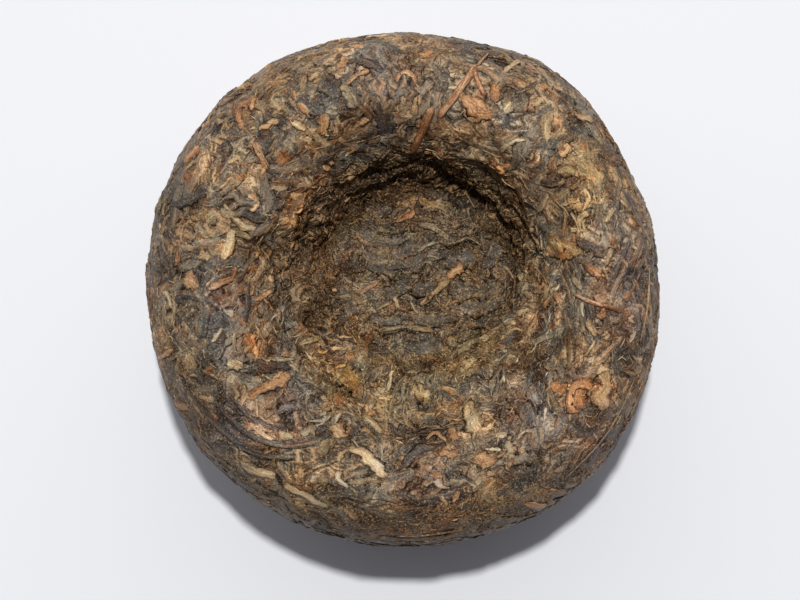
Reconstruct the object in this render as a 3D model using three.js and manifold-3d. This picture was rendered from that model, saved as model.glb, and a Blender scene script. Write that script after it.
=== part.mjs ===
// Pu erh tuocha: steamed tea leaves pressed in a cloth bag into a nest, with a domed back and a deep hollow
// where the knot of the bag was. It lies on its back with the hollow up and is one solid piece.
// Millimetres, +Z up. The origin is on the table, under the middle of the cake.
import * as THREE from 'three';
import { mergeVertices } from 'three/addons/utils/BufferGeometryUtils.js';
import Module from 'manifold-3d';

// The pressed form, as radii from the axis and heights above the table
const RADIUS = 41;
const HEIGHT = 43;
const FOOT_RADIUS = 11;
const BULGE_HEIGHT = 26;
const CREST_RADIUS = 29.5;
const THROAT_RADIUS = 18.5;
const THROAT_HEIGHT = 30;
const WALL_FOOT_RADIUS = 16.5;
const FLOOR_HEIGHT = 20;
const FLOOR_FILLET = 4.5;
const QUARTER_ROUND = 0.552;
const LIP_ROUND = 0.4;

// The knot sat off the middle, the outline swells in three places and the hollow's wall is steepest on one
// side, where the cloth was folded (degrees anticlockwise from +X, spreads in degrees too)
const HOLLOW_SHIFT = new THREE.Vector2(1.6, 1.6);
const SWELLS = [
  { angle: 55, rise: 1.7, spread: 17 },
  { angle: 130, rise: 1.1, spread: 32 },
  { angle: 320, rise: 1.1, spread: 28 },
];
const WALL_FOLD = { angle: 38, rise: 1.8, spread: 40 };
const RIM_WAVES = [
  { turns: 2, rise: 0.35, angle: 70 },
  { turns: 3, rise: 0.3, angle: 15 },
];

// The knot leaned too, so the hollow's wall is a slope on the near side: the mouth is wider there and the
// wall's foot is further in. Each lean fades over a range of heights and of radii.
const NEAR_SIDE = { angle: 262, rise: 1, spread: 95 };
const MOUTH_OPEN = 0.5;
const MOUTH_LEAN = 3.8;
const MOUTH_HEIGHTS = [25, 36];
const MOUTH_RADII = [21, 36];
const WALL_FOOT_LEAN = 3.2;
const WALL_FOOT_HEIGHTS = [22, 31];
const WALL_FOOT_RADII = [3, 13];

// The core lies below the outermost leaves, and clumps of leaf make it lumpy
const LEAF_DEPTH = 0.6;
const CORE_SEGMENTS = 56;
const CORE_STEPS = 37;
const SKIN_STEPS = 1200;
const CLUMPS = 260;
const CLUMP_LENGTH = 5;
const CLUMP_WIDTH = 2.6;
const CLUMP_RISE = 1;
const CLUMP_SIZES = [0.7, 1.2];
const FOOT_MARGIN = 3;

// How far a leaf rises above the pressed skin, and how deep its widest part is rooted
const LEAF_RISE = 0.4;
const LEAF_ROOT = 0.9;

// Leaves that stand out on the face: middle in plan, heading, length, width and bend along it in degrees
const FACE_LEAVES = [
  { x: 12.0, y: 29.0, heading: 20, length: 5.0, width: 4.4, bend: 0 },
  { x: 20.8, y: 12.6, heading: 39, length: 5.6, width: 1.4, bend: 20 },
  { x: 24.6, y: -2.8, heading: 101, length: 5.7, width: 1.5, bend: 25 },
  { x: 32.2, y: -16.2, heading: 100, length: 6.2, width: 1.9, bend: 60 },
  { x: 26.8, y: -17.1, heading: 90, length: 4.4, width: 1.3, bend: -150 },
  { x: -6.0, y: -27.0, heading: -28, length: 9.4, width: 1.7, bend: -85 },
  { x: -14.6, y: -33.4, heading: -30, length: 7.0, width: 2.2, bend: 20 },
  { x: -23.2, y: -28.9, heading: -18, length: 6.6, width: 2.2, bend: 0 },
  { x: -21.5, y: -15.0, heading: 32, length: 7.9, width: 1.9, bend: -20 },
  { x: -28.9, y: 1.1, heading: 24, length: 6.4, width: 1.6, bend: 15 },
  { x: -27.4, y: 7.4, heading: 64, length: 6.8, width: 2.5, bend: 15 },
  { x: -25.8, y: 28.0, heading: 105, length: 5.0, width: 2.2, bend: 30 },
  { x: 0.8, y: -7.0, heading: 0, length: 9.5, width: 2.0, bend: 15 },
  { x: 7.1, y: 1.4, heading: 42, length: 6.5, width: 1.8, bend: -20 },
];

// Twigs pressed into the face
const FACE_STEMS = [
  { x: 9.0, y: 31.6, heading: 52, length: 10.6, width: 1.3, bend: 0 },
  { x: 3.0, y: 25.5, heading: 67, length: 7.9, width: 1.6, bend: 4 },
  { x: 31.0, y: -2.0, heading: -21, length: 8.0, width: 1.0, bend: 12 },
];

// Twisted leaves spread over the whole cake, longest first
const LOOSE_LEAVES = 66;
const LONGEST_LEAF = 11;
const SHORTEST_LEAF = 5;
const LEAF_SLENDERNESS = 3.6;
const LEAF_WIDTHS = [0.8, 1.2];
const HOLLOW_LEAF_SHARE = 0.75;
const LARGEST_BEND = 70;
const LEAF_SIDES = 6;
const STEM_SIDES = 7;
const STEM_STEPS = 5;
const STEM_TAPER = 0.9;
const PLACE_PASSES = 12;
const SEED = 20;

// Steps of an even two-way spread: the inverse powers of the plastic ratio
const PLASTIC_RATIO = 1.32472;

const { degToRad, lerp, mapLinear, smoothstep } = THREE.MathUtils;

const wasm = await Module();
wasm.setup();

// A seeded draw between 0 and 1, the same in each run
function drawFrom(seed) {
  let state = seed;
  return () => {
    state = (state + 0x6d2b79f5) | 0;
    let mixed = Math.imul(state ^ (state >>> 15), 1 | state);
    mixed = (mixed + Math.imul(mixed ^ (mixed >>> 7), 61 | mixed)) ^ mixed;
    return ((mixed ^ (mixed >>> 14)) >>> 0) / 4294967296;
  };
}
const draw = drawFrom(SEED);

// Half of the cake's section, from the rim of the flat foot, up the back, over the ring and down to the floor
function sectionPath() {
  const path = new THREE.Path();
  const dome = RADIUS - FOOT_RADIUS;
  const shoulder = RADIUS - CREST_RADIUS;
  const rise = HEIGHT - BULGE_HEIGHT;
  const lip = CREST_RADIUS - THROAT_RADIUS;
  const drop = HEIGHT - THROAT_HEIGHT;
  path.moveTo(FOOT_RADIUS, 0);
  path.bezierCurveTo(
    FOOT_RADIUS + QUARTER_ROUND * dome, 0,
    RADIUS, BULGE_HEIGHT * (1 - QUARTER_ROUND),
    RADIUS, BULGE_HEIGHT,
  );
  path.bezierCurveTo(
    RADIUS, BULGE_HEIGHT + QUARTER_ROUND * rise,
    CREST_RADIUS + QUARTER_ROUND * shoulder, HEIGHT,
    CREST_RADIUS, HEIGHT,
  );
  path.bezierCurveTo(
    CREST_RADIUS - LIP_ROUND * lip, HEIGHT,
    THROAT_RADIUS, THROAT_HEIGHT + LIP_ROUND * drop,
    THROAT_RADIUS, THROAT_HEIGHT,
  );
  path.lineTo(WALL_FOOT_RADIUS, FLOOR_HEIGHT + FLOOR_FILLET);
  path.quadraticCurveTo(
    WALL_FOOT_RADIUS, FLOOR_HEIGHT,
    WALL_FOOT_RADIUS - FLOOR_FILLET, FLOOR_HEIGHT,
  );
  path.lineTo(0, FLOOR_HEIGHT);
  return path;
}
const section = sectionPath();

// The section as close steps, each with its radius, height and outward normal
const skin = section.getSpacedPoints(SKIN_STEPS).map((point, step, all) => {
  const before = all[Math.max(step - 1, 0)];
  const after = all[Math.min(step + 1, SKIN_STEPS)];
  const tangent = after.clone().sub(before).normalize();
  return { r: point.x, z: point.y, tangent, normal: new THREE.Vector2(tangent.y, -tangent.x) };
});
const crestStep = skin.reduce((best, step, index) => (step.z > skin[best].z ? index : best), 0);
const bulgeStep = skin.reduce((best, step, index) => (step.r > skin[best].r ? index : best), 0);

// A point of the skin at a step of the section and an angle, with its frame
function skinFrame(step, angle) {
  const { r, z, tangent, normal } = skin[step];
  const cos = Math.cos(angle);
  const sin = Math.sin(angle);
  return {
    point: new THREE.Vector3(r * cos, r * sin, z),
    down: new THREE.Vector3(tangent.x * cos, tangent.x * sin, tangent.y),
    round: new THREE.Vector3(-sin, cos, 0),
    normal: new THREE.Vector3(normal.x * cos, normal.x * sin, normal.y),
  };
}

// Lays a point on the nearest place of the skin, raised along the normal there
function layOnSkin(point, lift) {
  const r = Math.hypot(point.x, point.y);
  const angle = Math.atan2(point.y, point.x);
  let nearest = 0;
  let least = Infinity;
  skin.forEach((step, index) => {
    const distance = (step.r - r) ** 2 + (step.z - point.z) ** 2;
    if (distance < least) {
      least = distance;
      nearest = index;
    }
  });
  const frame = skinFrame(nearest, angle);
  return frame.point.addScaledVector(frame.normal, lift);
}

// A rise that fades to both sides of one angle
function swellAt(angle, { angle: middle, rise, spread }) {
  const turn = angle - degToRad(middle);
  const away = Math.atan2(Math.sin(turn), Math.cos(turn)) / degToRad(spread);
  return rise * Math.exp(-away * away);
}

// Makes the round form uneven: the outline swells, the rim waves and the hollow is off the middle and leans
function makeUneven(point) {
  const r = Math.hypot(point.x, point.y);
  const angle = Math.atan2(point.y, point.x);
  const outer = smoothstep(r, FOOT_RADIUS, RADIUS);
  const upper = smoothstep(point.z, FLOOR_HEIGHT / 2, FLOOR_HEIGHT);
  const inner = upper * (1 - smoothstep(r, THROAT_RADIUS, CREST_RADIUS));
  const low = inner * smoothstep(r, 0, WALL_FOOT_RADIUS) * (1 - smoothstep(point.z, FLOOR_HEIGHT, HEIGHT));
  const mouth = smoothstep(point.z, ...MOUTH_HEIGHTS) * (1 - smoothstep(r, ...MOUTH_RADII));
  const foot = smoothstep(r, ...WALL_FOOT_RADII) * (1 - smoothstep(point.z, ...WALL_FOOT_HEIGHTS)) * inner;
  const near = swellAt(angle, NEAR_SIDE);
  const swell = SWELLS.reduce((sum, wave) => sum + swellAt(angle, wave), 0) * outer;
  const lean = (MOUTH_OPEN + MOUTH_LEAN * near) * mouth - WALL_FOOT_LEAN * near * foot;
  const push = swell + swellAt(angle, WALL_FOLD) * low + lean;
  const rimRise = RIM_WAVES.reduce((sum, wave) => {
    return sum + wave.rise * Math.cos(wave.turns * (angle - degToRad(wave.angle)));
  }, 0);
  point.x += push * Math.cos(angle) + inner * HOLLOW_SHIFT.x;
  point.y += push * Math.sin(angle) + inner * HOLLOW_SHIFT.y;
  point.z += rimRise * smoothstep(point.z, BULGE_HEIGHT, HEIGHT);
  return point;
}

// A spread of places over the skin above the foot, even by area
function spreadPlaces(count) {
  const reach = [];
  let area = 0;
  skin.forEach(({ r, z }) => {
    area += z > FOOT_MARGIN ? r : 0;
    reach.push(area);
  });
  return Array.from({ length: count }, (unused, index) => {
    const share = ((index + 0.5) / PLASTIC_RATIO % 1) * area;
    const angle = 2 * Math.PI * (index + 0.5) / PLASTIC_RATIO ** 2;
    return { step: reach.findIndex((value) => value >= share), angle };
  });
}

// Clumps: soft oval lumps, each with its frame turned to a drawn heading
const clumps = spreadPlaces(CLUMPS).map(({ step, angle }) => {
  const { point, down, round, normal } = skinFrame(step, angle);
  const heading = 2 * Math.PI * draw();
  const along = down.multiplyScalar(Math.cos(heading)).addScaledVector(round, Math.sin(heading));
  const across = new THREE.Vector3().crossVectors(along, normal);
  return { point, along, across, normal, rise: CLUMP_RISE * draw(), size: lerp(...CLUMP_SIZES, draw()) };
});

// How far the core stands above its sunk level at a point of the skin
function clumpRise(point) {
  let rise = 0;
  for (const clump of clumps) {
    const away = point.clone().sub(clump.point).divideScalar(clump.size);
    const along = away.dot(clump.along) / CLUMP_LENGTH;
    const across = away.dot(clump.across) / CLUMP_WIDTH;
    const off = away.dot(clump.normal) / CLUMP_LENGTH;
    rise = Math.max(rise, clump.rise * Math.exp(-along * along - across * across - off * off));
  }
  return rise;
}

// A closed mesh as a solid for joining
function toSolid(geometry) {
  geometry.deleteAttribute('normal');
  geometry.deleteAttribute('uv');
  const merged = mergeVertices(geometry);
  return new wasm.Manifold(new wasm.Mesh({
    numProp: 3,
    vertProperties: new Float32Array(merged.attributes.position.array),
    triVerts: new Uint32Array(merged.index.array),
  }));
}

// Moves each vertex of a geometry by a rule that takes and gives a Vector3
function reshape(geometry, rule) {
  const position = geometry.attributes.position;
  const vertex = new THREE.Vector3();
  for (let index = 0; index < position.count; index += 1) {
    const moved = rule(vertex.fromBufferAttribute(position, index));
    position.setXYZ(index, moved.x, moved.y, moved.z);
  }
  return geometry;
}

// The core: the section turned round the axis, sunk under the leaves and lumpy above the foot
function coreSolid() {
  const profile = [new THREE.Vector2(0, 0), ...section.getSpacedPoints(CORE_STEPS)];
  const geometry = new THREE.LatheGeometry(profile, CORE_SEGMENTS).rotateX(Math.PI / 2);
  reshape(geometry, (vertex) => {
    const raised = smoothstep(vertex.z, 0, FOOT_MARGIN);
    if (raised === 0) return vertex;
    const lift = (clumpRise(vertex) - LEAF_DEPTH) * raised;
    return makeUneven(layOnSkin(vertex, lift));
  });
  return toSolid(geometry);
}

// Bends a straight blank that runs along Y and drapes it on the skin at a place and heading
function drape(blank, { step, angle, heading, length, width, bend }) {
  const { point, down, round, normal } = skinFrame(step, angle);
  const along = down.multiplyScalar(Math.cos(heading)).addScaledVector(round, Math.sin(heading));
  const across = new THREE.Vector3().crossVectors(along, normal);
  return reshape(blank, (vertex) => {
    const turn = vertex.y * degToRad(bend) / 2;
    const forward = length / 2 * vertex.y * Math.cos(turn / 2) - width / 2 * vertex.x * Math.sin(turn);
    const aside = length / 2 * vertex.y * Math.sin(turn / 2) + width / 2 * vertex.x * Math.cos(turn);
    const laid = point.clone().addScaledVector(along, forward).addScaledVector(across, aside);
    return makeUneven(layOnSkin(laid, (LEAF_RISE + LEAF_ROOT) * vertex.z - LEAF_ROOT));
  });
}

// A pointed twisted leaf and a round twig, both two units long and wide
function leafBlank() {
  return new THREE.SphereGeometry(1, LEAF_SIDES, LEAF_SIDES);
}

function stemBlank() {
  return new THREE.CylinderGeometry(1, STEM_TAPER, 2, STEM_SIDES, STEM_STEPS);
}

// The place on the skin that the uneven form brings under a point of the face given in plan, and the heading
// there. Each pass moves the place by what the last one missed.
function facePlace(piece) {
  const target = new THREE.Vector3(piece.x, piece.y, 0);
  const plan = target.clone();
  let place;
  for (let pass = 0; pass < PLACE_PASSES; pass += 1) {
    const reach = Math.hypot(plan.x, plan.y);
    place = {
      angle: Math.atan2(plan.y, plan.x),
      step: skin.findIndex(({ r }, index) => index > bulgeStep && r <= reach),
    };
    plan.add(target).sub(makeUneven(skinFrame(place.step, place.angle).point));
  }
  const heading = Math.PI - (degToRad(piece.heading) - place.angle);
  return { ...piece, ...place, heading };
}

// The leaves spread over the cake, which shrink from the longest to the shortest
function loosePieces() {
  return spreadPlaces(LOOSE_LEAVES).map(({ step, angle }, index) => {
    const length = mapLinear(index, 0, LOOSE_LEAVES - 1, LONGEST_LEAF, SHORTEST_LEAF);
    return {
      step,
      angle,
      heading: 2 * Math.PI * draw(),
      length: step > crestStep ? HOLLOW_LEAF_SHARE * length : length,
      width: length / LEAF_SLENDERNESS * lerp(...LEAF_WIDTHS, draw()),
      bend: LARGEST_BEND * (2 * draw() - 1),
    };
  });
}

// The whole cake: the core with the leaves and twigs that show fused on
function cakeGeometry() {
  const leaves = [...FACE_LEAVES.map(facePlace), ...loosePieces()];
  const stems = FACE_STEMS.map(facePlace);
  const pieces = [
    ...leaves.map((leaf) => toSolid(drape(leafBlank(), leaf))),
    ...stems.map((stem) => toSolid(drape(stemBlank(), stem))),
  ];
  const mesh = pieces.reduce((cake, piece) => cake.add(piece), coreSolid()).getMesh();
  const geometry = new THREE.BufferGeometry();
  geometry.setAttribute('position', new THREE.BufferAttribute(mesh.vertProperties, 3));
  geometry.setIndex(new THREE.BufferAttribute(mesh.triVerts, 1));
  geometry.computeBoundingBox();
  const middle = geometry.boundingBox.getCenter(new THREE.Vector3());
  geometry.translate(-middle.x, -middle.y, 0);
  geometry.computeVertexNormals();
  return geometry;
}

const teaMaterial = new THREE.MeshStandardMaterial({ color: 0x75624e, roughness: 0.7, metalness: 0 });
const cake = new THREE.Mesh(cakeGeometry(), teaMaterial);
cake.name = 'pressed_tea_cake';

const tuocha = new THREE.Group();
tuocha.add(cake);

export default tuocha;
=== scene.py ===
import math

import bpy
import numpy as np
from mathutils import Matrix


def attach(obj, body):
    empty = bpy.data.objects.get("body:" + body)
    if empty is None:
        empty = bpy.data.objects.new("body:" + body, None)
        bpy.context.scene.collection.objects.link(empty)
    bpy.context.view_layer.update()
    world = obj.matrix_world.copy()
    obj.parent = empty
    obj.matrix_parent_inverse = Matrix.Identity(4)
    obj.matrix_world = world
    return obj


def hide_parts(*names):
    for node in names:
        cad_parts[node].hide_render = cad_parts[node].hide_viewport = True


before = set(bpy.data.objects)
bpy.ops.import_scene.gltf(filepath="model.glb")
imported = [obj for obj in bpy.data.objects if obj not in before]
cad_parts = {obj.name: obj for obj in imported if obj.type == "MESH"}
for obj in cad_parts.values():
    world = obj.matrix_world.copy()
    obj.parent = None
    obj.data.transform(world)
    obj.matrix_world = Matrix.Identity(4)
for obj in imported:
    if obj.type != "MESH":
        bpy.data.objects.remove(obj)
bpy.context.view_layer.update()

# The pressed core
# The inside of the cake is broken leaf and crumb, steamed soft and pressed in a cloth bag. The knot of the
# bag left the deep hollow in the top, and the cake lies on its domed back.
MM = 0.001
RADIUS = 41 * MM
HEIGHT = 43 * MM
FOOT_RADIUS = 11 * MM
BULGE_HEIGHT = 26 * MM
CREST_RADIUS = 29.5 * MM
THROAT_RADIUS = 18.5 * MM
THROAT_HEIGHT = 30 * MM
WALL_FOOT_RADIUS = 16.5 * MM
FLOOR_HEIGHT = 20 * MM
FLOOR_FILLET = 4.5 * MM
QUARTER_ROUND = 0.552
LIP_ROUND = 0.4
SKIN_STEPS = 1400


def curve_through(start, lead, trail, end, steps=240):
    t = np.linspace(0, 1, steps)[:, None]
    start, lead, trail, end = (np.array(point, float) for point in (start, lead, trail, end))
    return (1 - t) ** 3 * start + 3 * (1 - t) ** 2 * t * lead + 3 * (1 - t) * t ** 2 * trail + t ** 3 * end


def straight(start, end):
    start, end = np.array(start, float), np.array(end, float)
    return curve_through(start, start + (end - start) / 3, end - (end - start) / 3, end)


def half_section():
    dome = RADIUS - FOOT_RADIUS
    shoulder = RADIUS - CREST_RADIUS
    lip = CREST_RADIUS - THROAT_RADIUS
    bulge, crest = (RADIUS, BULGE_HEIGHT), (CREST_RADIUS, HEIGHT)
    throat, wall_foot = (THROAT_RADIUS, THROAT_HEIGHT), (WALL_FOOT_RADIUS, FLOOR_HEIGHT + FLOOR_FILLET)
    floor_edge = (WALL_FOOT_RADIUS - FLOOR_FILLET, FLOOR_HEIGHT)
    return np.concatenate([
        straight((0, 0), (FOOT_RADIUS, 0)),
        curve_through((FOOT_RADIUS, 0), (FOOT_RADIUS + QUARTER_ROUND * dome, 0),
                      (RADIUS, BULGE_HEIGHT * (1 - QUARTER_ROUND)), bulge),
        curve_through(bulge, (RADIUS, BULGE_HEIGHT + QUARTER_ROUND * (HEIGHT - BULGE_HEIGHT)),
                      (CREST_RADIUS + QUARTER_ROUND * shoulder, HEIGHT), crest),
        curve_through(crest, (CREST_RADIUS - LIP_ROUND * lip, HEIGHT),
                      (THROAT_RADIUS, THROAT_HEIGHT + LIP_ROUND * (HEIGHT - THROAT_HEIGHT)), throat),
        straight(throat, wall_foot),
        curve_through(wall_foot, (WALL_FOOT_RADIUS, FLOOR_HEIGHT + FLOOR_FILLET / 3),
                      (WALL_FOOT_RADIUS - FLOOR_FILLET / 3, FLOOR_HEIGHT), floor_edge),
        straight(floor_edge, (0, FLOOR_HEIGHT)),
    ])


def run_along(points):
    """The distance of each point from the first, along the line through them."""
    return np.concatenate([[0], np.cumsum(np.linalg.norm(np.diff(points, axis=0), axis=1))])


def even_steps(points):
    run = run_along(points)
    reach = np.linspace(0, run[-1], SKIN_STEPS)
    return reach, np.interp(reach, run, points[:, 0]), np.interp(reach, run, points[:, 1])


skin_reach, skin_r, skin_z = even_steps(half_section())
skin_length = skin_reach[-1]
skin_dr, skin_dz = np.gradient(skin_r, skin_reach), np.gradient(skin_z, skin_reach)
crest_reach = skin_reach[np.argmax(skin_z)]
bulge_reach = skin_reach[np.argmax(skin_r)]

# A table of the nearest place on the section for any point near it
LOOK_STEP = 0.25 * MM
LOOK_MARGIN = 5 * MM
LOOK_PASSES = 2
look_r = np.arange(0, RADIUS + LOOK_MARGIN, LOOK_STEP)
look_z = np.arange(-LOOK_MARGIN, HEIGHT + LOOK_MARGIN, LOOK_STEP)
look_reach = np.array([
    skin_reach[np.argmin((skin_r[None] - r) ** 2 + (skin_z[None] - look_z[:, None]) ** 2, axis=1)]
    for r in look_r
])


def along_skin(reach, values):
    return np.interp(reach, skin_reach, values)


def nearest_on_skin(points):
    """The reach along the section and the angle round the axis of the skin under each point."""
    r = np.hypot(points[..., 0], points[..., 1])
    z = points[..., 2]
    i = np.clip((r / LOOK_STEP).astype(int), 0, len(look_r) - 1)
    j = np.clip(((z + LOOK_MARGIN) / LOOK_STEP + 0.5).astype(int), 0, len(look_z) - 1)
    reach = look_reach[i, j]
    for _ in range(LOOK_PASSES):
        off_r, off_z = r - along_skin(reach, skin_r), z - along_skin(reach, skin_z)
        reach = reach + off_r * along_skin(reach, skin_dr) + off_z * along_skin(reach, skin_dz)
        reach = np.clip(reach, 0, skin_length)
    return reach, np.arctan2(points[..., 1], points[..., 0])


def skin_axes(reach, angle):
    """Point, direction down the section, direction round the axis and normal at places on the skin."""
    cos, sin = np.cos(angle), np.sin(angle)
    r, z = along_skin(reach, skin_r), along_skin(reach, skin_z)
    dr, dz = along_skin(reach, skin_dr), along_skin(reach, skin_dz)
    return (np.stack([r * cos, r * sin, z], -1), np.stack([dr * cos, dr * sin, dz], -1),
            np.stack([-sin, cos, np.zeros_like(cos)], -1), np.stack([dz * cos, dz * sin, -dr], -1))


# The knot sat off the middle and leaned, so the wall is steep on the far side and slopes on the near one. The
# outline swells in three places.
HOLLOW_SHIFT = np.array([1.6 * MM, 1.6 * MM])
SWELLS = [(55, 1.7 * MM, 17), (130, 1.1 * MM, 32), (320, 1.1 * MM, 28)]
WALL_FOLD = (38, 1.8 * MM, 40)
RIM_WAVES = [(2, 0.35 * MM, 70), (3, 0.3 * MM, 15)]
NEAR_SIDE = (262, 95)
MOUTH_LEAN = 3.8 * MM
MOUTH_OPEN = 0.5 * MM
MOUTH_HEIGHTS = (25 * MM, 36 * MM)
MOUTH_RADII = (21 * MM, 36 * MM)
WALL_FOOT_LEAN = 3.2 * MM
WALL_FOOT_HEIGHTS = (22 * MM, 31 * MM)
WALL_FOOT_RADII = (3 * MM, 13 * MM)


def smooth_step(value, low, high):
    t = np.clip((value - low) / (high - low), 0, 1)
    return t * t * (3 - 2 * t)


def swell_at(angle, middle, spread):
    turn = angle - math.radians(middle)
    away = np.arctan2(np.sin(turn), np.cos(turn)) / math.radians(spread)
    return np.exp(-away * away)


def make_uneven(points):
    r = np.hypot(points[..., 0], points[..., 1])
    angle = np.arctan2(points[..., 1], points[..., 0])
    z = points[..., 2]
    outer = smooth_step(r, FOOT_RADIUS, RADIUS)
    upper = smooth_step(z, FLOOR_HEIGHT / 2, FLOOR_HEIGHT)
    inner = upper * (1 - smooth_step(r, THROAT_RADIUS, CREST_RADIUS))
    low = inner * smooth_step(r, 0, WALL_FOOT_RADIUS) * (1 - smooth_step(z, FLOOR_HEIGHT, HEIGHT))
    mouth = smooth_step(z, *MOUTH_HEIGHTS) * (1 - smooth_step(r, *MOUTH_RADII))
    wall_foot = inner * smooth_step(r, *WALL_FOOT_RADII) * (1 - smooth_step(z, *WALL_FOOT_HEIGHTS))
    near = swell_at(angle, *NEAR_SIDE)
    push = sum(rise * swell_at(angle, middle, spread) for middle, rise, spread in SWELLS) * outer
    push = push + WALL_FOLD[1] * swell_at(angle, WALL_FOLD[0], WALL_FOLD[2]) * low
    push = push + (MOUTH_LEAN * near + MOUTH_OPEN) * mouth - WALL_FOOT_LEAN * near * wall_foot
    rim = sum(rise * np.cos(turns * (angle - math.radians(crest))) for turns, rise, crest in RIM_WAVES)
    return np.stack([
        points[..., 0] + push * np.cos(angle) + inner * HOLLOW_SHIFT[0],
        points[..., 1] + push * np.sin(angle) + inner * HOLLOW_SHIFT[1],
        z + rim * smooth_step(z, BULGE_HEIGHT, HEIGHT),
    ], -1)


# Clumps of leaf make soft lumps all over, drawn in the same order as the solid's
CLUMPS = 260
CLUMP_LENGTH = 5 * MM
CLUMP_WIDTH = 2.6 * MM
CLUMP_RISE = 1 * MM
CLUMP_SIZES = (0.7, 1.2)
LEAF_DEPTH = 0.6 * MM
PRESSING = 0.5
FOOT_MARGIN = 3 * MM
PLASTIC_RATIO = 1.32472
CLUMP_SEED = 20
WORD = 0xFFFFFFFF


def seeded_draw(seed):
    state = seed
    while True:
        state = (state + 0x6D2B79F5) & WORD
        mixed = ((state ^ (state >> 15)) * (1 | state)) & WORD
        mixed = ((mixed + ((mixed ^ (mixed >> 7)) * (61 | mixed))) & WORD) ^ mixed
        yield (mixed ^ (mixed >> 14)) / 2 ** 32


def spread_places(count, weight):
    """Places spread evenly over the skin, where weight gives each reach its share by area."""
    area = np.cumsum(weight * skin_r)
    index = np.arange(count) + 0.5
    share = (index / PLASTIC_RATIO % 1) * area[-1]
    return np.interp(share, area, skin_reach), 2 * np.pi * (index / PLASTIC_RATIO ** 2 % 1)


clump_draw = seeded_draw(CLUMP_SEED)
above_foot = (skin_z > FOOT_MARGIN).astype(float)
clump_reach, clump_angle = spread_places(CLUMPS, above_foot)
clump_point, clump_down, clump_round, clump_normal = skin_axes(clump_reach, clump_angle)
clump_draws = np.array([[next(clump_draw) for _ in range(3)] for _ in range(CLUMPS)])
clump_heading = 2 * np.pi * clump_draws[:, :1]
clump_along = clump_down * np.cos(clump_heading) + clump_round * np.sin(clump_heading)
clump_across = np.cross(clump_along, clump_normal)
clump_rise = CLUMP_RISE * clump_draws[:, 1]
clump_size = CLUMP_SIZES[0] + (CLUMP_SIZES[1] - CLUMP_SIZES[0]) * clump_draws[:, 2]

# Lumps, creases and crags are worked out once, in tables of places over the whole skin
TABLE_ROWS = 360
TABLE_COLUMNS = 480
table_reach, table_angle = np.meshgrid(np.linspace(0, skin_length, TABLE_ROWS),
                                       np.linspace(-np.pi, np.pi, TABLE_COLUMNS), indexing="ij")
table_point = skin_axes(table_reach, table_angle)[0]


def lump_table():
    lumps = np.zeros(table_reach.shape)
    for k in range(CLUMPS):
        away = (table_point - clump_point[k]) / clump_size[k]
        along = away @ clump_along[k] / CLUMP_LENGTH
        across = away @ clump_across[k] / CLUMP_WIDTH
        off = away @ clump_normal[k] / CLUMP_LENGTH
        lumps = np.maximum(lumps, clump_rise[k] * np.exp(-along ** 2 - across ** 2 - off ** 2))
    return PRESSING * (lumps - LEAF_DEPTH) * smooth_step(table_point[..., 2], 0, FOOT_MARGIN)


lumps = lump_table()


def from_table(table, reach, angle):
    row = np.clip(reach / skin_length, 0, 1) * (TABLE_ROWS - 1)
    column = (angle + np.pi) / (2 * np.pi) % 1 * (TABLE_COLUMNS - 1)
    i, j = np.minimum(row.astype(int), TABLE_ROWS - 2), np.minimum(column.astype(int), TABLE_COLUMNS - 2)
    u, v = row - i, column - j
    return ((table[i, j] * (1 - v) + table[i, j + 1] * v) * (1 - u)
            + (table[i + 1, j] * (1 - v) + table[i + 1, j + 1] * v) * u)


def set_in_cake(reach, angle, lift):
    """Points raised off the lumpy skin, in the uneven form of the real cake."""
    point, _, _, normal = skin_axes(reach, angle)
    return make_uneven(point + normal * (lift + from_table(lumps, reach, angle))[..., None])


# The uneven form is moved so that its box stands over the origin, as the solid's does
FORM_ROWS = 200
FORM_COLUMNS = 361
form_reach, form_angle = np.meshgrid(np.linspace(0, skin_length, FORM_ROWS),
                                     np.linspace(0, 2 * np.pi, FORM_COLUMNS))
form = set_in_cake(form_reach, form_angle, np.full(form_reach.shape, LEAF_DEPTH / 2)).reshape(-1, 3)
centring = np.append((form.min(0) + form.max(0))[:2] / 2, 0)

# The picture is taken from straight above, and what stands out in it is laid where it is seen
PICTURE = np.array([800, 600])
MM_PER_PIXEL = 0.1597 * MM
VIEW_DISTANCE = 0.5
VIEW_MIDDLE = np.array([-2.5, -10]) * MM_PER_PIXEL
PLACE_PASSES = 80
PLACE_STEP = 0.22
face_of_skin = skin_reach > bulge_reach


def seen_at(reach, angle):
    """The pixel at which each place on the face shows."""
    point = set_in_cake(reach, angle, np.zeros(reach.shape)) - centring
    nearness = 1 - (point[..., 2:] - BULGE_HEIGHT) / VIEW_DISTANCE
    return PICTURE / 2 + (point[..., :2] - VIEW_MIDDLE) / nearness / (MM_PER_PIXEL, -MM_PER_PIXEL)


def under_pixels(pixels):
    """The reach and angle of the face that shows at each pixel, found in passes that each mend the last."""
    plan = (pixels - PICTURE / 2) * (MM_PER_PIXEL, -MM_PER_PIXEL) + VIEW_MIDDLE
    for _ in range(PLACE_PASSES):
        radius, angle = np.hypot(plan[..., 0], plan[..., 1]), np.arctan2(plan[..., 1], plan[..., 0])
        reach = np.interp(-radius, -skin_r[face_of_skin], skin_reach[face_of_skin])
        plan = plan + PLACE_STEP * (pixels - seen_at(reach, angle)) * (MM_PER_PIXEL, -MM_PER_PIXEL)
    return reach, angle


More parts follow.
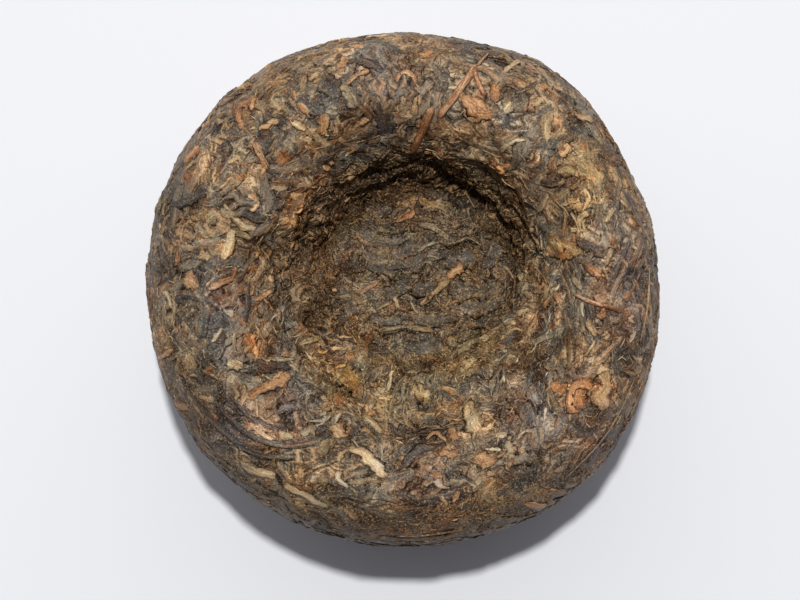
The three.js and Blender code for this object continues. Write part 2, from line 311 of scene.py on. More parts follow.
def smooth_path(points, stations):
    """Stations at even steps on a smooth curve through a few points."""
    points = np.array(points, float)
    run = run_along(points)
    heading = np.gradient(points, run, axis=0)
    t = np.linspace(0, run[-1], stations)
    i = np.clip(np.searchsorted(run, t, side="right") - 1, 0, len(points) - 2)
    gap = (run[i + 1] - run[i])[:, None]
    s = (t - run[i])[:, None] / gap
    return ((1 + 2 * s) * (1 - s) ** 2 * points[i] + s ** 2 * (3 - 2 * s) * points[i + 1]
            + s * (1 - s) ** 2 * gap * heading[i] + s ** 2 * (s - 1) * gap * heading[i + 1])


# Creases, where the folds of the cloth pinched the wall: a path in pixels, a width in pixels and a depth
CREASES = [
    ([(400, 164), (418, 162), (438, 172), (457, 184), (474, 194), (488, 206), (500, 219)], 16, 1.7 * MM),
    ([(497, 216), (512, 228), (519, 240), (520, 262)], 11, 1.3 * MM),
    ([(350, 196), (337, 205), (326, 214)], 8, 1 * MM),
    ([(326, 226), (303, 227)], 7, 0.9 * MM),
    ([(296, 238), (312, 247)], 8, 0.9 * MM),
    ([(370, 182), (385, 172), (402, 165)], 12, 0.9 * MM),
]
CREASE_STATIONS = 60
CREASE_FADE = 4


def crease_table():
    table = np.zeros(table_reach.shape)
    for path, width, depth in CREASES:
        bottom = skin_axes(*under_pixels(smooth_path(path, CREASE_STATIONS)))[0]
        for k, place in enumerate(bottom):
            shallow = min(1, CREASE_FADE * min(k + 1, CREASE_STATIONS - k) / CREASE_STATIONS)
            away = np.linalg.norm(table_point - place, axis=-1) / (width * MM_PER_PIXEL / 2)
            table = np.maximum(table, depth * shallow * np.exp(-away ** 4))
    return table


# The wall is loose and rough, in crags a few millimetres across, and the floor is smoother
CRAG_WAVES = 90
CRAG_PITCH = (2.5, 7)
CRAG_RISE = 0.34 * MM
CRAG_SEED = 12
WALL_RISE = (crest_reach + 4 * MM, crest_reach + 11 * MM)
FLOOR_RISE = (skin_length - 14 * MM, skin_length - 8 * MM)
FLOOR_SMOOTHING = 0.5
crag_rng = np.random.default_rng(CRAG_SEED)
crag_heading = crag_rng.normal(size=(CRAG_WAVES, 3))
crag_heading /= np.linalg.norm(crag_heading, axis=1, keepdims=True)
crag_wave = 2 * np.pi * crag_heading / (crag_rng.uniform(*CRAG_PITCH, CRAG_WAVES) * MM)[:, None]
crag_phase = crag_rng.uniform(0, 2 * np.pi, CRAG_WAVES)


def crags(point):
    """Even roughness in every direction, mostly within one either way of nought."""
    return np.cos(point @ crag_wave.T + crag_phase).sum(-1) * math.sqrt(2 / CRAG_WAVES)


def wall_share(reach):
    return smooth_step(reach, *WALL_RISE)


def crag_table():
    loose = wall_share(table_reach) * (1 - FLOOR_SMOOTHING * smooth_step(table_reach, *FLOOR_RISE))
    return CRAG_RISE * loose * crags(table_point)


creases = crease_table()
lumps = lumps - creases + crag_table()


def new_piece(name, points, faces, uv, attributes):
    """A smooth mesh object from arrays, with its bake map and its named attributes."""
    mesh = bpy.data.meshes.new(name)
    mesh.vertices.add(len(points))
    mesh.vertices.foreach_set("co", np.ascontiguousarray(points, np.float32).ravel())
    mesh.loops.add(faces.size)
    mesh.loops.foreach_set("vertex_index", np.ascontiguousarray(faces, np.int32).ravel())
    mesh.polygons.add(len(faces))
    mesh.polygons.foreach_set("loop_start", np.arange(0, faces.size, faces.shape[1], dtype=np.int32))
    mesh.update(calc_edges=True)
    layer = mesh.uv_layers.new(name="OFBake")
    layer.data.foreach_set("uv", np.ascontiguousarray(uv, np.float32).ravel())
    for key, values in attributes.items():
        kind, field = ("FLOAT_VECTOR", "vector") if values.ndim > 1 else ("FLOAT", "value")
        attribute = mesh.attributes.new(key, kind, "POINT")
        attribute.data.foreach_set(field, np.ascontiguousarray(values, np.float32).ravel())
    mesh.shade_smooth()
    piece = bpy.data.objects.new(name, mesh)
    bpy.context.scene.collection.objects.link(piece)
    return piece


# Painted shade and painted light in the colour, for the shade and light that fall on the form: the hollow is
# painted in shade, darkest in a painted shadow arc under the wall on the far side, where loose crumb lies,
# and in the creases. The rim has painted shade at its outer edge, most on the near side. The slope into the
# hollow has painted light, more so on the left and not on the near side.
# Painted shade on the floor of the hollow and on the far wall
PAINTED_FLOOR_SHADE = 0.4
PAINTED_FAR_WALL_SHADE = 0.3
LEAST_FAR = -0.4
# Painted shadow in the creases, for each metre of their depth
PAINTED_CREASE_SHADOW = 1 / MM
# The painted shade is made patchy by the crags of the wall and of the arc
PAINTED_WALL_CRAG_SHADE = 0.0433
PAINTED_ARC_CRAG_SHADE = 0.2167
# Limits of the painted shading; below nought it is painted light
LEAST_PAINTED_SHADING = -0.25
MOST_PAINTED_SHADING = 0.94
FAR_SIDE = math.radians(85)
PAINTED_SHADE_RUN = 5 * MM
# Painted shadow of the far wall: an arc in pixels, how much painted shade it gives along its length, and its
# spread in pixels
PAINTED_SHADOW_ARC = [(312, 318), (297, 285), (294, 252), (303, 228), (330, 206), (360, 182), (392, 168), (425, 164),
            (457, 183), (490, 208), (513, 238), (521, 268), (520, 290)]
PAINTED_SHADOW_ARC_DEPTH = [0.06, 0.12, 0.24, 0.34, 0.38, 0.39, 0.39, 0.39, 0.37, 0.34, 0.32, 0.2, 0.08]
PAINTED_SHADOW_ARC_WIDTH = 21
# Painted shade at the outer edge of the rim, and more of it on the near side, which faces away from the lamp
PAINTED_RIM_SHADE = 0.14
EDGE_RISE = (0.88, 1)
PAINTED_RIM_SHADE_SIDE = (265, 50)
PAINTED_RIM_SHADE_RISES = [(0.72, 0.84), (0.86, 0.98)]
PAINTED_RIM_SHADE_GAIN = 2.3
# Painted light on the slope into the hollow, more on the left and less on the near side
PAINTED_SLOPE_LIGHT = 0.22
PAINTED_LIGHT_SIDE = (180, 40)
PAINTED_LIGHT_SIDE_GAIN = 0.9
NEAR_SIDE_LOSS = 1.6
SLOPE_RISE = (crest_reach - 2 * MM, crest_reach + 4 * MM)
SLOPE_FALL = (crest_reach + 11 * MM, crest_reach + 19 * MM)
painted_shadow_arc = smooth_path(PAINTED_SHADOW_ARC, CREASE_STATIONS)
painted_shadow_arc_depth = np.interp(np.linspace(0, 1, CREASE_STATIONS), np.linspace(0, 1, len(PAINTED_SHADOW_ARC)), PAINTED_SHADOW_ARC_DEPTH)
foot_of_wall = crest_reach + np.interp(-FLOOR_HEIGHT - FLOOR_FILLET, -skin_z[skin_reach > crest_reach],
                                       skin_reach[skin_reach > crest_reach] - crest_reach)


# Painted shadow of the far wall, strongest along the arc
def painted_arc_shadow(reach, angle):
    away = np.linalg.norm(seen_at(reach, angle)[..., None, :] - painted_shadow_arc, axis=-1) / PAINTED_SHADOW_ARC_WIDTH
    return np.max(painted_shadow_arc_depth * np.exp(-away ** 2), axis=-1) * wall_share(reach)


# Painted shading at places on the skin: painted shade above nought and painted light below it
def painted_shading_at(reach, angle):
    out = along_skin(reach, skin_r)
    floor = smooth_step(reach, foot_of_wall - PAINTED_SHADE_RUN, foot_of_wall + PAINTED_SHADE_RUN)
    wall = smooth_step(reach, foot_of_wall - 3 * PAINTED_SHADE_RUN, foot_of_wall)
    far = np.maximum(out / WALL_FOOT_RADIUS * np.cos(angle - FAR_SIDE), LEAST_FAR)
    arc = painted_arc_shadow(reach, angle)
    # Painted shade on the rim's outer edge and on its near side
    shaded = sum(smooth_step(out / RADIUS, *rise) for rise in PAINTED_RIM_SHADE_RISES)
    edge = smooth_step(out / RADIUS, *EDGE_RISE) + PAINTED_RIM_SHADE_GAIN * shaded * swell_at(angle, *PAINTED_RIM_SHADE_SIDE)
    # Painted light on the slope
    slope = smooth_step(reach, *SLOPE_RISE) * (1 - smooth_step(reach, *SLOPE_FALL))
    near, left = swell_at(angle, *NEAR_SIDE), swell_at(angle, *PAINTED_LIGHT_SIDE)
    slope = slope * (1 - NEAR_SIDE_LOSS * near + PAINTED_LIGHT_SIDE_GAIN * left)
    # Painted shade on the floor, the far wall, the arc and the rim, less the painted light of the slope
    dim = PAINTED_FLOOR_SHADE * floor + PAINTED_FAR_WALL_SHADE * wall * far + arc + PAINTED_RIM_SHADE * edge - PAINTED_SLOPE_LIGHT * slope
    # The painted shade is made patchy with the crags
    dim = dim - crags(skin_axes(reach, angle)[0]) * (PAINTED_WALL_CRAG_SHADE * wall_share(reach) + PAINTED_ARC_CRAG_SHADE * arc)
    # Painted shadow in the creases, nearly black in the deepest
    return np.clip(dim + PAINTED_CREASE_SHADOW * from_table(creases, reach, angle), LEAST_PAINTED_SHADING, MOST_PAINTED_SHADING)


# Where one kind of leaf is common the face takes its colour, in round places and spreads given in pixels
PALE_ZONE = (1.2, 1.19, 1.16)
GOLD_ZONE = (1.08, 1.05, 0.97)
BROWN_ZONE = (0.96, 0.945, 0.88)
MAUVE_ZONE = (0.96, 0.97, 1.07)
DARK_ZONE = (0.84, 0.84, 0.85)
RED_ZONE = (1.06, 0.98, 0.92)
ZONES = [
    (PALE_ZONE, [(230, 238, 26), (560, 250, 24), (538, 393, 26), (470, 432, 24), (300, 125, 20),
                 (545, 150, 22), (532, 350, 24)]),
    (GOLD_ZONE, [(585, 172, 28), (590, 205, 20), (265, 85, 16)]),
    (BROWN_ZONE, [(452, 370, 28), (478, 345, 22), (330, 385, 24), (400, 390, 26), (362, 366, 24)]),
    (MAUVE_ZONE, [(625, 270, 34), (628, 325, 30), (425, 468, 32), (290, 412, 28), (235, 425, 30),
                  (228, 300, 26), (595, 450, 44), (388, 90, 30), (520, 410, 30)]),
    (DARK_ZONE, [(190, 185, 26), (545, 105, 24), (545, 192, 24), (210, 392, 28), (312, 405, 20),
                 (402, 482, 26), (540, 435, 22), (463, 48, 18), (505, 75, 20), (380, 140, 26),
                 (290, 310, 30)]),
    (RED_ZONE, [(475, 105, 22), (345, 335, 24), (300, 180, 28), (430, 515, 34), (325, 260, 32),
                (590, 395, 22), (240, 95, 22), (520, 190, 26), (250, 335, 22), (405, 210, 20)]),
]
SEEN_POWER = 2.2
# Towards the outline the colour is made a little warmer and darker
RIM_TINT = (0.98, 0.95, 0.92)
RIM_TINT_RISE = (0.8, 0.94)


def zone_tint(reach, angle):
    """What the colour is multiplied by at each place."""
    seen = seen_at(reach, angle)
    rim = smooth_step(along_skin(reach, skin_r) / RADIUS, *RIM_TINT_RISE)
    tint = rim[..., None] * np.log(RIM_TINT) * SEEN_POWER
    for colour, places in ZONES:
        for x, y, spread in places:
            share = np.exp(-((seen - (x, y)) ** 2).sum(-1) / spread ** 2)
            tint += share[..., None] * np.log(colour) * SEEN_POWER
    return np.exp(tint)


# The core is a grid closed at both poles, a little under the leaves, with fine crumb on it
CORE_ROWS = 200
CORE_COLUMNS = 260
CORE_SINK = 0.2 * MM
CORE_END = 0.3 * MM
CRUMB_RISE = 0.1 * MM
CRUMB_SEED = 7
CRUMB_GRAINS = (7.2, 18)
CAP_UV = (0.5, 0.999)


def crumb_relief(rows, columns):
    """Fine crumb on the core, even noise that is rounded off at two sizes."""
    rng = np.random.default_rng(CRUMB_SEED)
    relief = np.zeros((rows, columns))
    spin = np.fft.fftfreq(rows)[:, None] ** 2 + np.fft.fftfreq(columns)[None] ** 2
    for grain in CRUMB_GRAINS:
        noise = rng.normal(size=(rows, columns))
        noise = np.fft.ifft2(np.fft.fft2(noise) * np.exp(-spin * grain ** 2)).real
        relief += noise / noise.std()
    return relief * CRUMB_RISE / len(CRUMB_GRAINS)


def core_piece():
    reach = np.linspace(CORE_END, skin_length - CORE_END, CORE_ROWS)
    angle = np.linspace(-np.pi, np.pi, CORE_COLUMNS, endpoint=False)
    reach, angle = np.meshgrid(reach, angle, indexing="ij")
    lift = crumb_relief(CORE_ROWS, CORE_COLUMNS) - CORE_SINK
    points = set_in_cake(reach, angle, lift).reshape(-1, 3) - centring
    points[:, 2] = np.maximum(points[:, 2], CORE_SINK)
    poles = np.stack([points[:CORE_COLUMNS].mean(0), points[-CORE_COLUMNS:].mean(0)])
    i, j = np.meshgrid(np.arange(CORE_ROWS - 1), np.arange(CORE_COLUMNS), indexing="ij")
    right = (j + 1) % CORE_COLUMNS
    corner = [i * CORE_COLUMNS + j, i * CORE_COLUMNS + right,
              (i + 1) * CORE_COLUMNS + right, (i + 1) * CORE_COLUMNS + j]
    quads = np.stack(corner, -1).reshape(-1, 4)
    bottom, top = len(points), len(points) + 1
    split = np.arange(0, CORE_COLUMNS, 2)
    after, last = (split + 1) % CORE_COLUMNS, (split + 2) % CORE_COLUMNS
    end = (CORE_ROWS - 1) * CORE_COLUMNS
    low_cap = np.stack([np.full_like(split, bottom), last, after, split], -1)
    high_cap = np.stack([np.full_like(split, top), end + split, end + after, end + last], -1)
    faces = np.concatenate([quads, low_cap, high_cap])
    across = np.stack([j, j + 1, j + 1, j], -1) / CORE_COLUMNS
    up = np.stack([i, i, i + 1, i + 1], -1) / CORE_ROWS
    uv = np.stack([across, up], -1).reshape(-1, 2)
    cap_uv = np.tile(CAP_UV, (4 * len(low_cap) + 4 * len(high_cap), 1))
    attributes = {
        # The painted shading of the core; the pole in the floor of the hollow takes the painted floor shade
        "dim": np.append(painted_shading_at(reach, angle).ravel(), [0, PAINTED_FLOOR_SHADE]),
        "tint": np.concatenate([zone_tint(reach, angle).reshape(-1, 3), np.ones((2, 3))]),
    }
    points, uv = np.concatenate([points, poles]), np.concatenate([uv, cap_uv])
    return new_piece("tea_core", points, faces, uv, attributes)


class Value:
    """A shader socket that takes part in sums, so that a mask reads as an expression."""

    def __init__(self, shader, socket):
        self.shader = shader
        self.socket = socket

    def maths(self, operation, *values):
        return self.shader.node("ShaderNodeMath", {"operation": operation}, dict(enumerate(values)))

    def __add__(self, other):
        return self.maths("ADD", self, other)

    def __sub__(self, other):
        return self.maths("SUBTRACT", self, other)

    def __rsub__(self, other):
        return self.maths("SUBTRACT", other, self)

    def __mul__(self, other):
        return self.maths("MULTIPLY", self, other)

    __radd__ = __add__
    __rmul__ = __mul__

    def between(self, low, high):
        settings = {"interpolation_type": "SMOOTHSTEP"}
        inputs = {"Value": self, "From Min": low, "From Max": high}
        return self.shader.node("ShaderNodeMapRange", settings, inputs)

    def at_least(self, least):
        return self.maths("MAXIMUM", self, least)

    def at_most(self, most):
        return self.maths("MINIMUM", self, most)


class Nodes:
    """A tree of shader nodes that are added one at a time."""

    def __init__(self, tree):
        self.tree = tree

    def node(self, kind, settings=None, inputs=None, output=0):
        made = self.tree.nodes.new(kind)
        for key, value in (settings or {}).items():
            if key == "stops":
                self.set_stops(made.color_ramp, value)
            else:
                setattr(made, key, value)
        for key, value in (inputs or {}).items():
            self.feed(made.inputs[key], value)
        return Value(self, made.outputs[output])

    def set_stops(self, ramp, stops):
        while len(ramp.elements) < len(stops):
            ramp.elements.new(1)
        for element, (place, colour) in zip(ramp.elements, stops):
            element.position = place
            element.color = (*colour, 1)

    def feed(self, socket, value):
        if isinstance(value, Value):
            self.tree.links.new(value.socket, socket)
        else:
            socket.default_value = value

    def attribute(self, name, output="Fac"):
        return self.node("ShaderNodeAttribute", {"attribute_name": name}, output=output)

    def noise(self, vector, scale, detail=3, roughness=0.55):
        inputs = {"Vector": vector, "Scale": scale, "Detail": detail, "Roughness": roughness}
        return self.node("ShaderNodeTexNoise", None, inputs)

    def stretched(self, vector, along, across):
        inputs = {0: vector, 1: (along, across, 1)}
        return self.node("ShaderNodeVectorMath", {"operation": "MULTIPLY"}, inputs)

    def ramp(self, value, stops):
        return self.node("ShaderNodeValToRGB", {"stops": stops}, {"Fac": value})

    def mix(self, share, first, second, blend="MIX"):
        settings = {"data_type": "RGBA", "blend_type": blend}
        return self.node("ShaderNodeMix", settings, {0: share, 6: first, 7: second}, output=2)

    def tinted(self, colour, tint):
        return self.mix(1, colour, tint, "MULTIPLY")


class Finish(Nodes):
    """A material with one surface."""

    def __init__(self, name):
        self.material = bpy.data.materials.new(name)
        self.material.use_nodes = True
        super().__init__(self.material.node_tree)
        self.surface = self.tree.nodes["Principled BSDF"]

    def place(self):
        return self.node("ShaderNodeTexCoord", output="Object")

    def set(self, **values):
        for key, value in values.items():
            self.feed(self.surface.inputs[key.replace("_", " ")], value)

    def bump(self, height, distance):
        inputs = {"Height": height, "Distance": distance, "Strength": 1}
        self.set(Normal=self.node("ShaderNodeBump", None, inputs))


def shade(red, green, blue):
    """A colour as it is seen, 0 to 255, as the linear values that shaders take."""
    seen = np.array([red, green, blue]) / 255
    return tuple(np.where(seen <= 0.04045, seen / 12.92, ((seen + 0.055) / 1.055) ** 2.4))


def colour_stops(places, *colours):
    """Colours as they are seen, from a leaf's folds to its lights, at their places on a ramp of tones."""
    return [(place, shade(*colour)) for place, colour in zip(places, colours)]


GROUND_TONES = (0.2, 0.42, 0.56, 0.68, 0.82)
BROWN_GROUND = colour_stops(GROUND_TONES, (52, 32, 15), (104, 80, 58), (140, 113, 84), (174, 146, 109),
                            (214, 190, 156))
SLATE_GROUND = colour_stops(GROUND_TONES, (46, 31, 17), (82, 75, 66), (108, 101, 90), (140, 128, 107),
                            (182, 164, 134))
# Colours of painted shade, painted highlights and painted shade in pits, and the gold of crumbs
PAINTED_SHADE_COLOUR = (*shade(32, 21, 13), 1)
PAINTED_GLINT = (*shade(222, 194, 148), 1)
GOLD_CRUMB = (*shade(190, 150, 96), 1)
PAINTED_PIT_SHADE = (*shade(44, 26, 10), 1)
PLAIN = (1, 1, 1, 1)
RUST = (1.06, 0.85, 0.7, 1)
AMBER = (1.1, 0.96, 0.68, 1)
WARM = (1.08, 1, 0.9, 1)
COOL = (0.89, 0.95, 1.03, 1)
# Tints of painted light and painted shade
PAINTED_LIGHT_TINT = (1.18, 1.18, 1.2, 1)
PAINTED_SHADE_TINT = (0.84, 0.84, 0.84, 1)

# How many waves of each noise there are to a metre, and the bands of noise over which colours change
FLOW_WAVES = 115
FRAY_WAVES = 650
PATCH_WAVES = 210
GRIT_WAVES = 3000
HUE_WAVES = 150
RUST_WAVES = 240
SPECK_WAVES = 3300
CRUMB_WAVES = 1200
GLAZE_WAVES = 130
PAINTED_SHADING_WAVES = 80
SLATE_BAND = (0.41, 0.55)
RUST_BAND = (0.54, 0.66)
AMBER_BAND = (0.46, 0.58)
CRUMB_BAND = (0.57, 0.67)
WARM_BAND = (0.36, 0.64)
PAINTED_LIGHT_BAND = (0.35, 0.65)
PAINTED_GLINT_BAND = (0.57, 0.71)
PAINTED_PIT_BAND = (0.58, 0.72)
PAINTED_SHADE_BAND = (0.38, 0.9)
MIDDLE_TONE = 0.49
GOLD_SHARE = 0.7


def flow_lines(finish, place, detail):
    return finish.node("ShaderNodeTexNoise", {"noise_dimensions": "1D"},
                       {"W": place, "Scale": 1, "Detail": detail, "Roughness": 0.6})


def pressed_ground(finish):
    """The felt of pressed leaf that runs over everything: streaks that flow round soft patches, and grit."""
    place = finish.place()
    flow = finish.noise(place, FLOW_WAVES, 1.5)
    fray = finish.noise(place, FRAY_WAVES, 2) - 0.5
    streak = flow_lines(finish, flow * 26 + fray * 3, 1.5)
    thread = flow_lines(finish, flow * 75 + fray * 7, 1)
    patch = finish.noise(place, PATCH_WAVES, 2.5)
    grit = finish.noise(place, GRIT_WAVES, 2, 0.7)
    hue = finish.noise(place, HUE_WAVES, 2)
    rust = finish.noise(place, RUST_WAVES, 2)
    dim = finish.attribute("dim")
    # dark is the painted shade, the part of the painted shading above nought; it also changes the patches,
    # the grit and the amber tint
    dark = dim.at_least(0)
    tone = MIDDLE_TONE + (patch - 0.5) * (1.5 - dark * 1.6) + (streak - 0.5) * 0.7
    tone = tone + (thread - 0.5) * 0.35 + (grit - 0.5) * (dark * 2 + 0.8)
    slate = (hue - dim * 0.06).between(*SLATE_BAND)
    colour = finish.mix(slate, finish.ramp(tone, BROWN_GROUND), finish.ramp(tone, SLATE_GROUND))
    colour = finish.tinted(colour, finish.mix(rust.between(*RUST_BAND), PLAIN, RUST))
    amber = (1 - rust).between(*AMBER_BAND) * dark * 2
    colour = finish.tinted(colour, finish.mix(amber, PLAIN, AMBER))
    return colour, streak, grit


def speckled(finish, colour):
    """Colour laid over the leaf: warm and cool patches and the tints of the zones, soft patches of painted
    light and painted shade, painted highlights on specks and painted shade in pits, a tenth of a millimetre
    or two across, gold crumbs, and the painted shading of the attribute.
    """
    place = finish.place()
    speck = finish.noise(place, SPECK_WAVES, 2, 0.75)
    crumb = finish.noise(place, CRUMB_WAVES, 2, 0.6).between(*CRUMB_BAND)
    glaze = finish.noise(place, GLAZE_WAVES, 2)
    dim = finish.attribute("dim")
    warm = (glaze + (glaze - 0.44) * dim).between(*WARM_BAND)
    # Soft patches of painted light and painted shade for the rounding of the form, lighter where painted
    # light lies
    light = (finish.noise(place, PAINTED_SHADING_WAVES, 1) - dim.at_most(0)).between(*PAINTED_LIGHT_BAND)
    colour = finish.tinted(colour, finish.mix(warm, COOL, WARM))
    colour = finish.mix(1 - dim, colour, finish.mix(light, PAINTED_SHADE_TINT, PAINTED_LIGHT_TINT), "MULTIPLY")
    colour = finish.tinted(colour, finish.attribute("tint", "Color"))
    # Painted highlights on specks, more of them where the painted shade is deep
    colour = finish.mix(speck.between(*PAINTED_GLINT_BAND) * (dim * 1.8 + 0.43), colour, PAINTED_GLINT)
    # Painted shade in tiny pits, more of it where the painted shade is deep
    colour = finish.mix((1 - speck).between(*PAINTED_PIT_BAND) * (dim * 1.5 + 0.43), colour, PAINTED_PIT_SHADE)
    # Gold crumbs show where the painted shade is deep, and are kept out of it
    gold = crumb * dim.between(*PAINTED_SHADE_BAND) * GOLD_SHARE
    colour = finish.mix(gold, colour, GOLD_CRUMB)
    # The painted shading is laid on as a mix towards the painted shade colour
    return finish.mix(dim * (1 - gold), colour, PAINTED_SHADE_COLOUR)


def ground_finish():
    finish = Finish("tea_felt")
    colour, streak, grit = pressed_ground(finish)
    finish.set(Base_Color=speckled(finish, colour), Roughness=0.6, Specular_IOR_Level=0.2)
    finish.bump(streak * 0.5 + grit * 0.5, 0.15 * MM)
    return finish.material


core = core_piece()
core.data.materials.append(ground_finish())
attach(core, "root")
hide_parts("pressed_tea_cake")

# Pressed leaves
# Leaves that opened in the steam and were pressed flat, slate black to purple brown and olive. They lie one
# over another in curved bundles, and their edges are felted into their neighbours.
LEAF_ACROSS = np.array([-1, -0.6, 0, 0.6, 1])
BAKE_MARGIN = 0.04
CAP_EDGE = (0.3, 0.4, 0.5, 0.45)
THINNEST = 0.003
WAIST_TURNS = 5
NOTCHES = [(9, 2, 1), (23, 5, 0.7), (14, -4, 0.5)]
SEED_STEP = 40 * MM


def strip_faces(count, stations, ring):
    """The four-sided faces of closed strips, rings of top points and one keel, with both ends closed."""
    i, j = np.meshgrid(np.arange(stations - 1), np.arange(ring), indexing="ij")
    beside = (j + 1) % ring
    side = np.stack([i * ring + j, i * ring + beside, (i + 1) * ring + beside, (i + 1) * ring + j], -1)
    last, keel = (stations - 1) * ring, ring - 1
    caps = [[k, keel, k + 2, k + 1] for k in range(0, keel - 1, 2)]
    caps += [[last + k, last + k + 1, last + k + 2, last + keel] for k in range(0, keel - 1, 2)]
    one = np.concatenate([side.reshape(-1, 4), caps])
    faces = one[None] + (np.arange(count) * stations * ring)[:, None, None]
    along = np.stack([i, i, i + 1, i + 1], -1).reshape(-1, 4) / (stations - 1)
    edge = np.stack([j, j + 1, j + 1, j], -1).reshape(-1, 4) / ring
    cap_along = np.repeat([[0], [1]], len(caps) // 2, axis=0) * np.ones((1, 4))
    cap_edge = np.tile(CAP_EDGE, (len(caps), 1))
    cell = np.stack([np.concatenate([along, cap_along]), np.concatenate([edge, cap_edge])], -1)
    columns = math.ceil(math.sqrt(count / 2))
    rows = math.ceil(count / columns)
    index = np.arange(count)
    corner = np.stack([index % columns, index // columns], -1)
    within = BAKE_MARGIN + (1 - 2 * BAKE_MARGIN) * cell[None]
    uv = (corner[:, None, None] + within) / np.array([columns, rows])
    return faces.reshape(-1, 4), uv.reshape(-1, 2)


def lay_strips(name, line, side, strips, across=LEAF_ACROSS):
    """Closed strips of leaf laid along lines on the skin and pressed to their level."""
    count, stations = line.shape[:2]
    t = np.linspace(-1, 1, stations)[None]
    column = {key: value[:, None] for key, value in strips.items() if value.ndim == 1}
    blunt = np.where(t < 0, column["blunt_start"], column["blunt_end"])
    spread = np.maximum(1 - np.abs(t) ** blunt, THINNEST) ** 0.5 * (1 + column["taper"] * t)
    spread = spread * (1 + column["ragged"] * np.sin(WAIST_TURNS * t + 3 * column["phase"]))
    width = (column["width"] / 2 * spread)[..., None]
    u = np.append(across, 0)[None, None]
    top = np.append(np.ones(len(across)), 0)[None, None]
    turn = t[..., None] + column["phase"][..., None]
    notches = sum(depth * np.sin(along * turn + over * u) for along, over, depth in NOTCHES)
    ragged = 1 + column["ragged"][..., None] * notches
    plane = line[:, :, None] + side[:, :, None] * (width * u * ragged)[..., None]
    crown = (column["crown"] * spread)[..., None] * (1 - u ** 2)
    crown = crown - column["fold"][..., None] * (1 - np.abs(u)) ** 4
    ripple = column["ripple"] * np.sin(column["ripple_turns"] * np.pi * t + column["phase"])
    raised = column["level"][..., None] + crown + column["tilt"][..., None] * u + ripple[..., None]
    sunk = (column["end_sink"] * np.abs(t) ** 6)[..., None]
    lift = np.where(top > 0, raised, column["level"][..., None] - column["thick"][..., None]) - sunk
    reach, angle = nearest_on_skin(plane)
    points = set_in_cake(reach, angle, lift) - centring
    points[..., 2] = np.maximum(points[..., 2], column["foot"][..., None])
    faces, uv = strip_faces(count, stations, len(across) + 1)
    run = np.linalg.norm(np.diff(line, axis=1), axis=-1).cumsum(axis=1)
    run = np.concatenate([np.zeros((count, 1)), run], axis=1)[..., None]
    seed = np.broadcast_to(column["seed"][..., None], lift.shape)
    grain = np.stack([run + 0 * u, width * u, seed * SEED_STEP], -1) / MM
    attributes = {
        "grain": grain.reshape(-1, 3),
        "tone": np.broadcast_to(column["tone"][..., None], lift.shape).ravel(),
        "edge": np.maximum(np.abs(u), np.abs(t[..., None]) ** 3 + 0 * lift).ravel(),
        # Painted shading under each strip, less the share of it that the strip is kept out of
        "dim": (painted_shading_at(reach, angle) * (1 - column["bright"][..., None])).ravel(),
        "tint": zone_tint(reach, angle).reshape(-1, 3),
    }
    return new_piece(name, points.reshape(-1, 3), faces, uv, attributes)


def strip_set(rng, places, along, length, width, tone):
    """Strips at places near the skin, with the small differences that no two leaves share."""
    count = len(places)
    point, _, _, normal = skin_axes(*nearest_on_skin(places))
    along = along - normal * (along * normal).sum(-1, keepdims=True)
    along = along / np.linalg.norm(along, axis=-1, keepdims=True)
    return {
        "point": point, "along": along, "side": np.cross(normal, along),
        "length": length, "width": width, "tone": tone,
        "bend": rng.normal(0, 0.7, count),
        "wave": rng.uniform(0, 0.3, count) * width, "wave_turns": rng.uniform(0.8, 1.8, count),
        "phase": rng.uniform(0, 6.28, count), "ragged": rng.uniform(0, 0.2, count),
        "taper": rng.uniform(-0.35, 0.35, count),
        "blunt_start": rng.uniform(1.5, 7, count), "blunt_end": rng.uniform(1.5, 7, count),
        "level": rng.uniform(-0.24, -0.1, count) * MM, "crown": rng.uniform(0.12, 0.26, count) * MM,
        "fold": rng.uniform(0, 0.08, count) * MM, "tilt": rng.normal(0, 0.04, count) * MM,
        "ripple": rng.uniform(0, 0.04, count) * MM, "ripple_turns": rng.uniform(2, 5, count),
        "end_sink": rng.uniform(0.05, 0.2, count) * MM, "thick": rng.uniform(0.25, 0.4, count) * MM,
        "foot": rng.uniform(0, 0.2, count) * MM, "seed": rng.uniform(0, 1, count), "bright": np.zeros(count),
    }


def bent_strips(name, strips, stations, across=LEAF_ACROSS):
    """Strips that bend and wave in the plane of the skin under their middles."""
    t = np.linspace(-1, 1, stations)[None]
    column = {key: value[:, None] for key, value in strips.items() if value.ndim == 1}
    half = column["length"] / 2 * t
    turn = column["bend"] * t / 2
    forward = half * np.sinc(turn / np.pi)
    aside = half * turn / 2 * np.sinc(turn / 2 / np.pi) ** 2
    aside = aside + column["wave"] * np.sin(column["wave_turns"] * np.pi * t + column["phase"])
    along, side = strips["along"][:, None], strips["side"][:, None]
    line = strips["point"][:, None] + along * forward[..., None] + side * aside[..., None]
    beside = side * np.cos(turn)[..., None] - along * np.sin(turn)[..., None]
    return lay_strips(name, line, beside, strips, across)


# Leaves lie in swirls, and those of the slope are combed towards the knot
LEAF_SEED = 31
SWIRLS = 170
COMB_RISE = (crest_reach - 9 * MM, crest_reach + 3 * MM)
COMB_FALL = (foot_of_wall - 2 * MM, foot_of_wall + 4 * MM)
COMB_SHARE = 0.75
leaf_rng = np.random.default_rng(LEAF_SEED)
swirl_reach, swirl_angle = spread_places(SWIRLS, np.ones(SKIN_STEPS))
swirl_point = skin_axes(swirl_reach, swirl_angle)[0]
swirl_heading = leaf_rng.uniform(0, np.pi, SWIRLS)


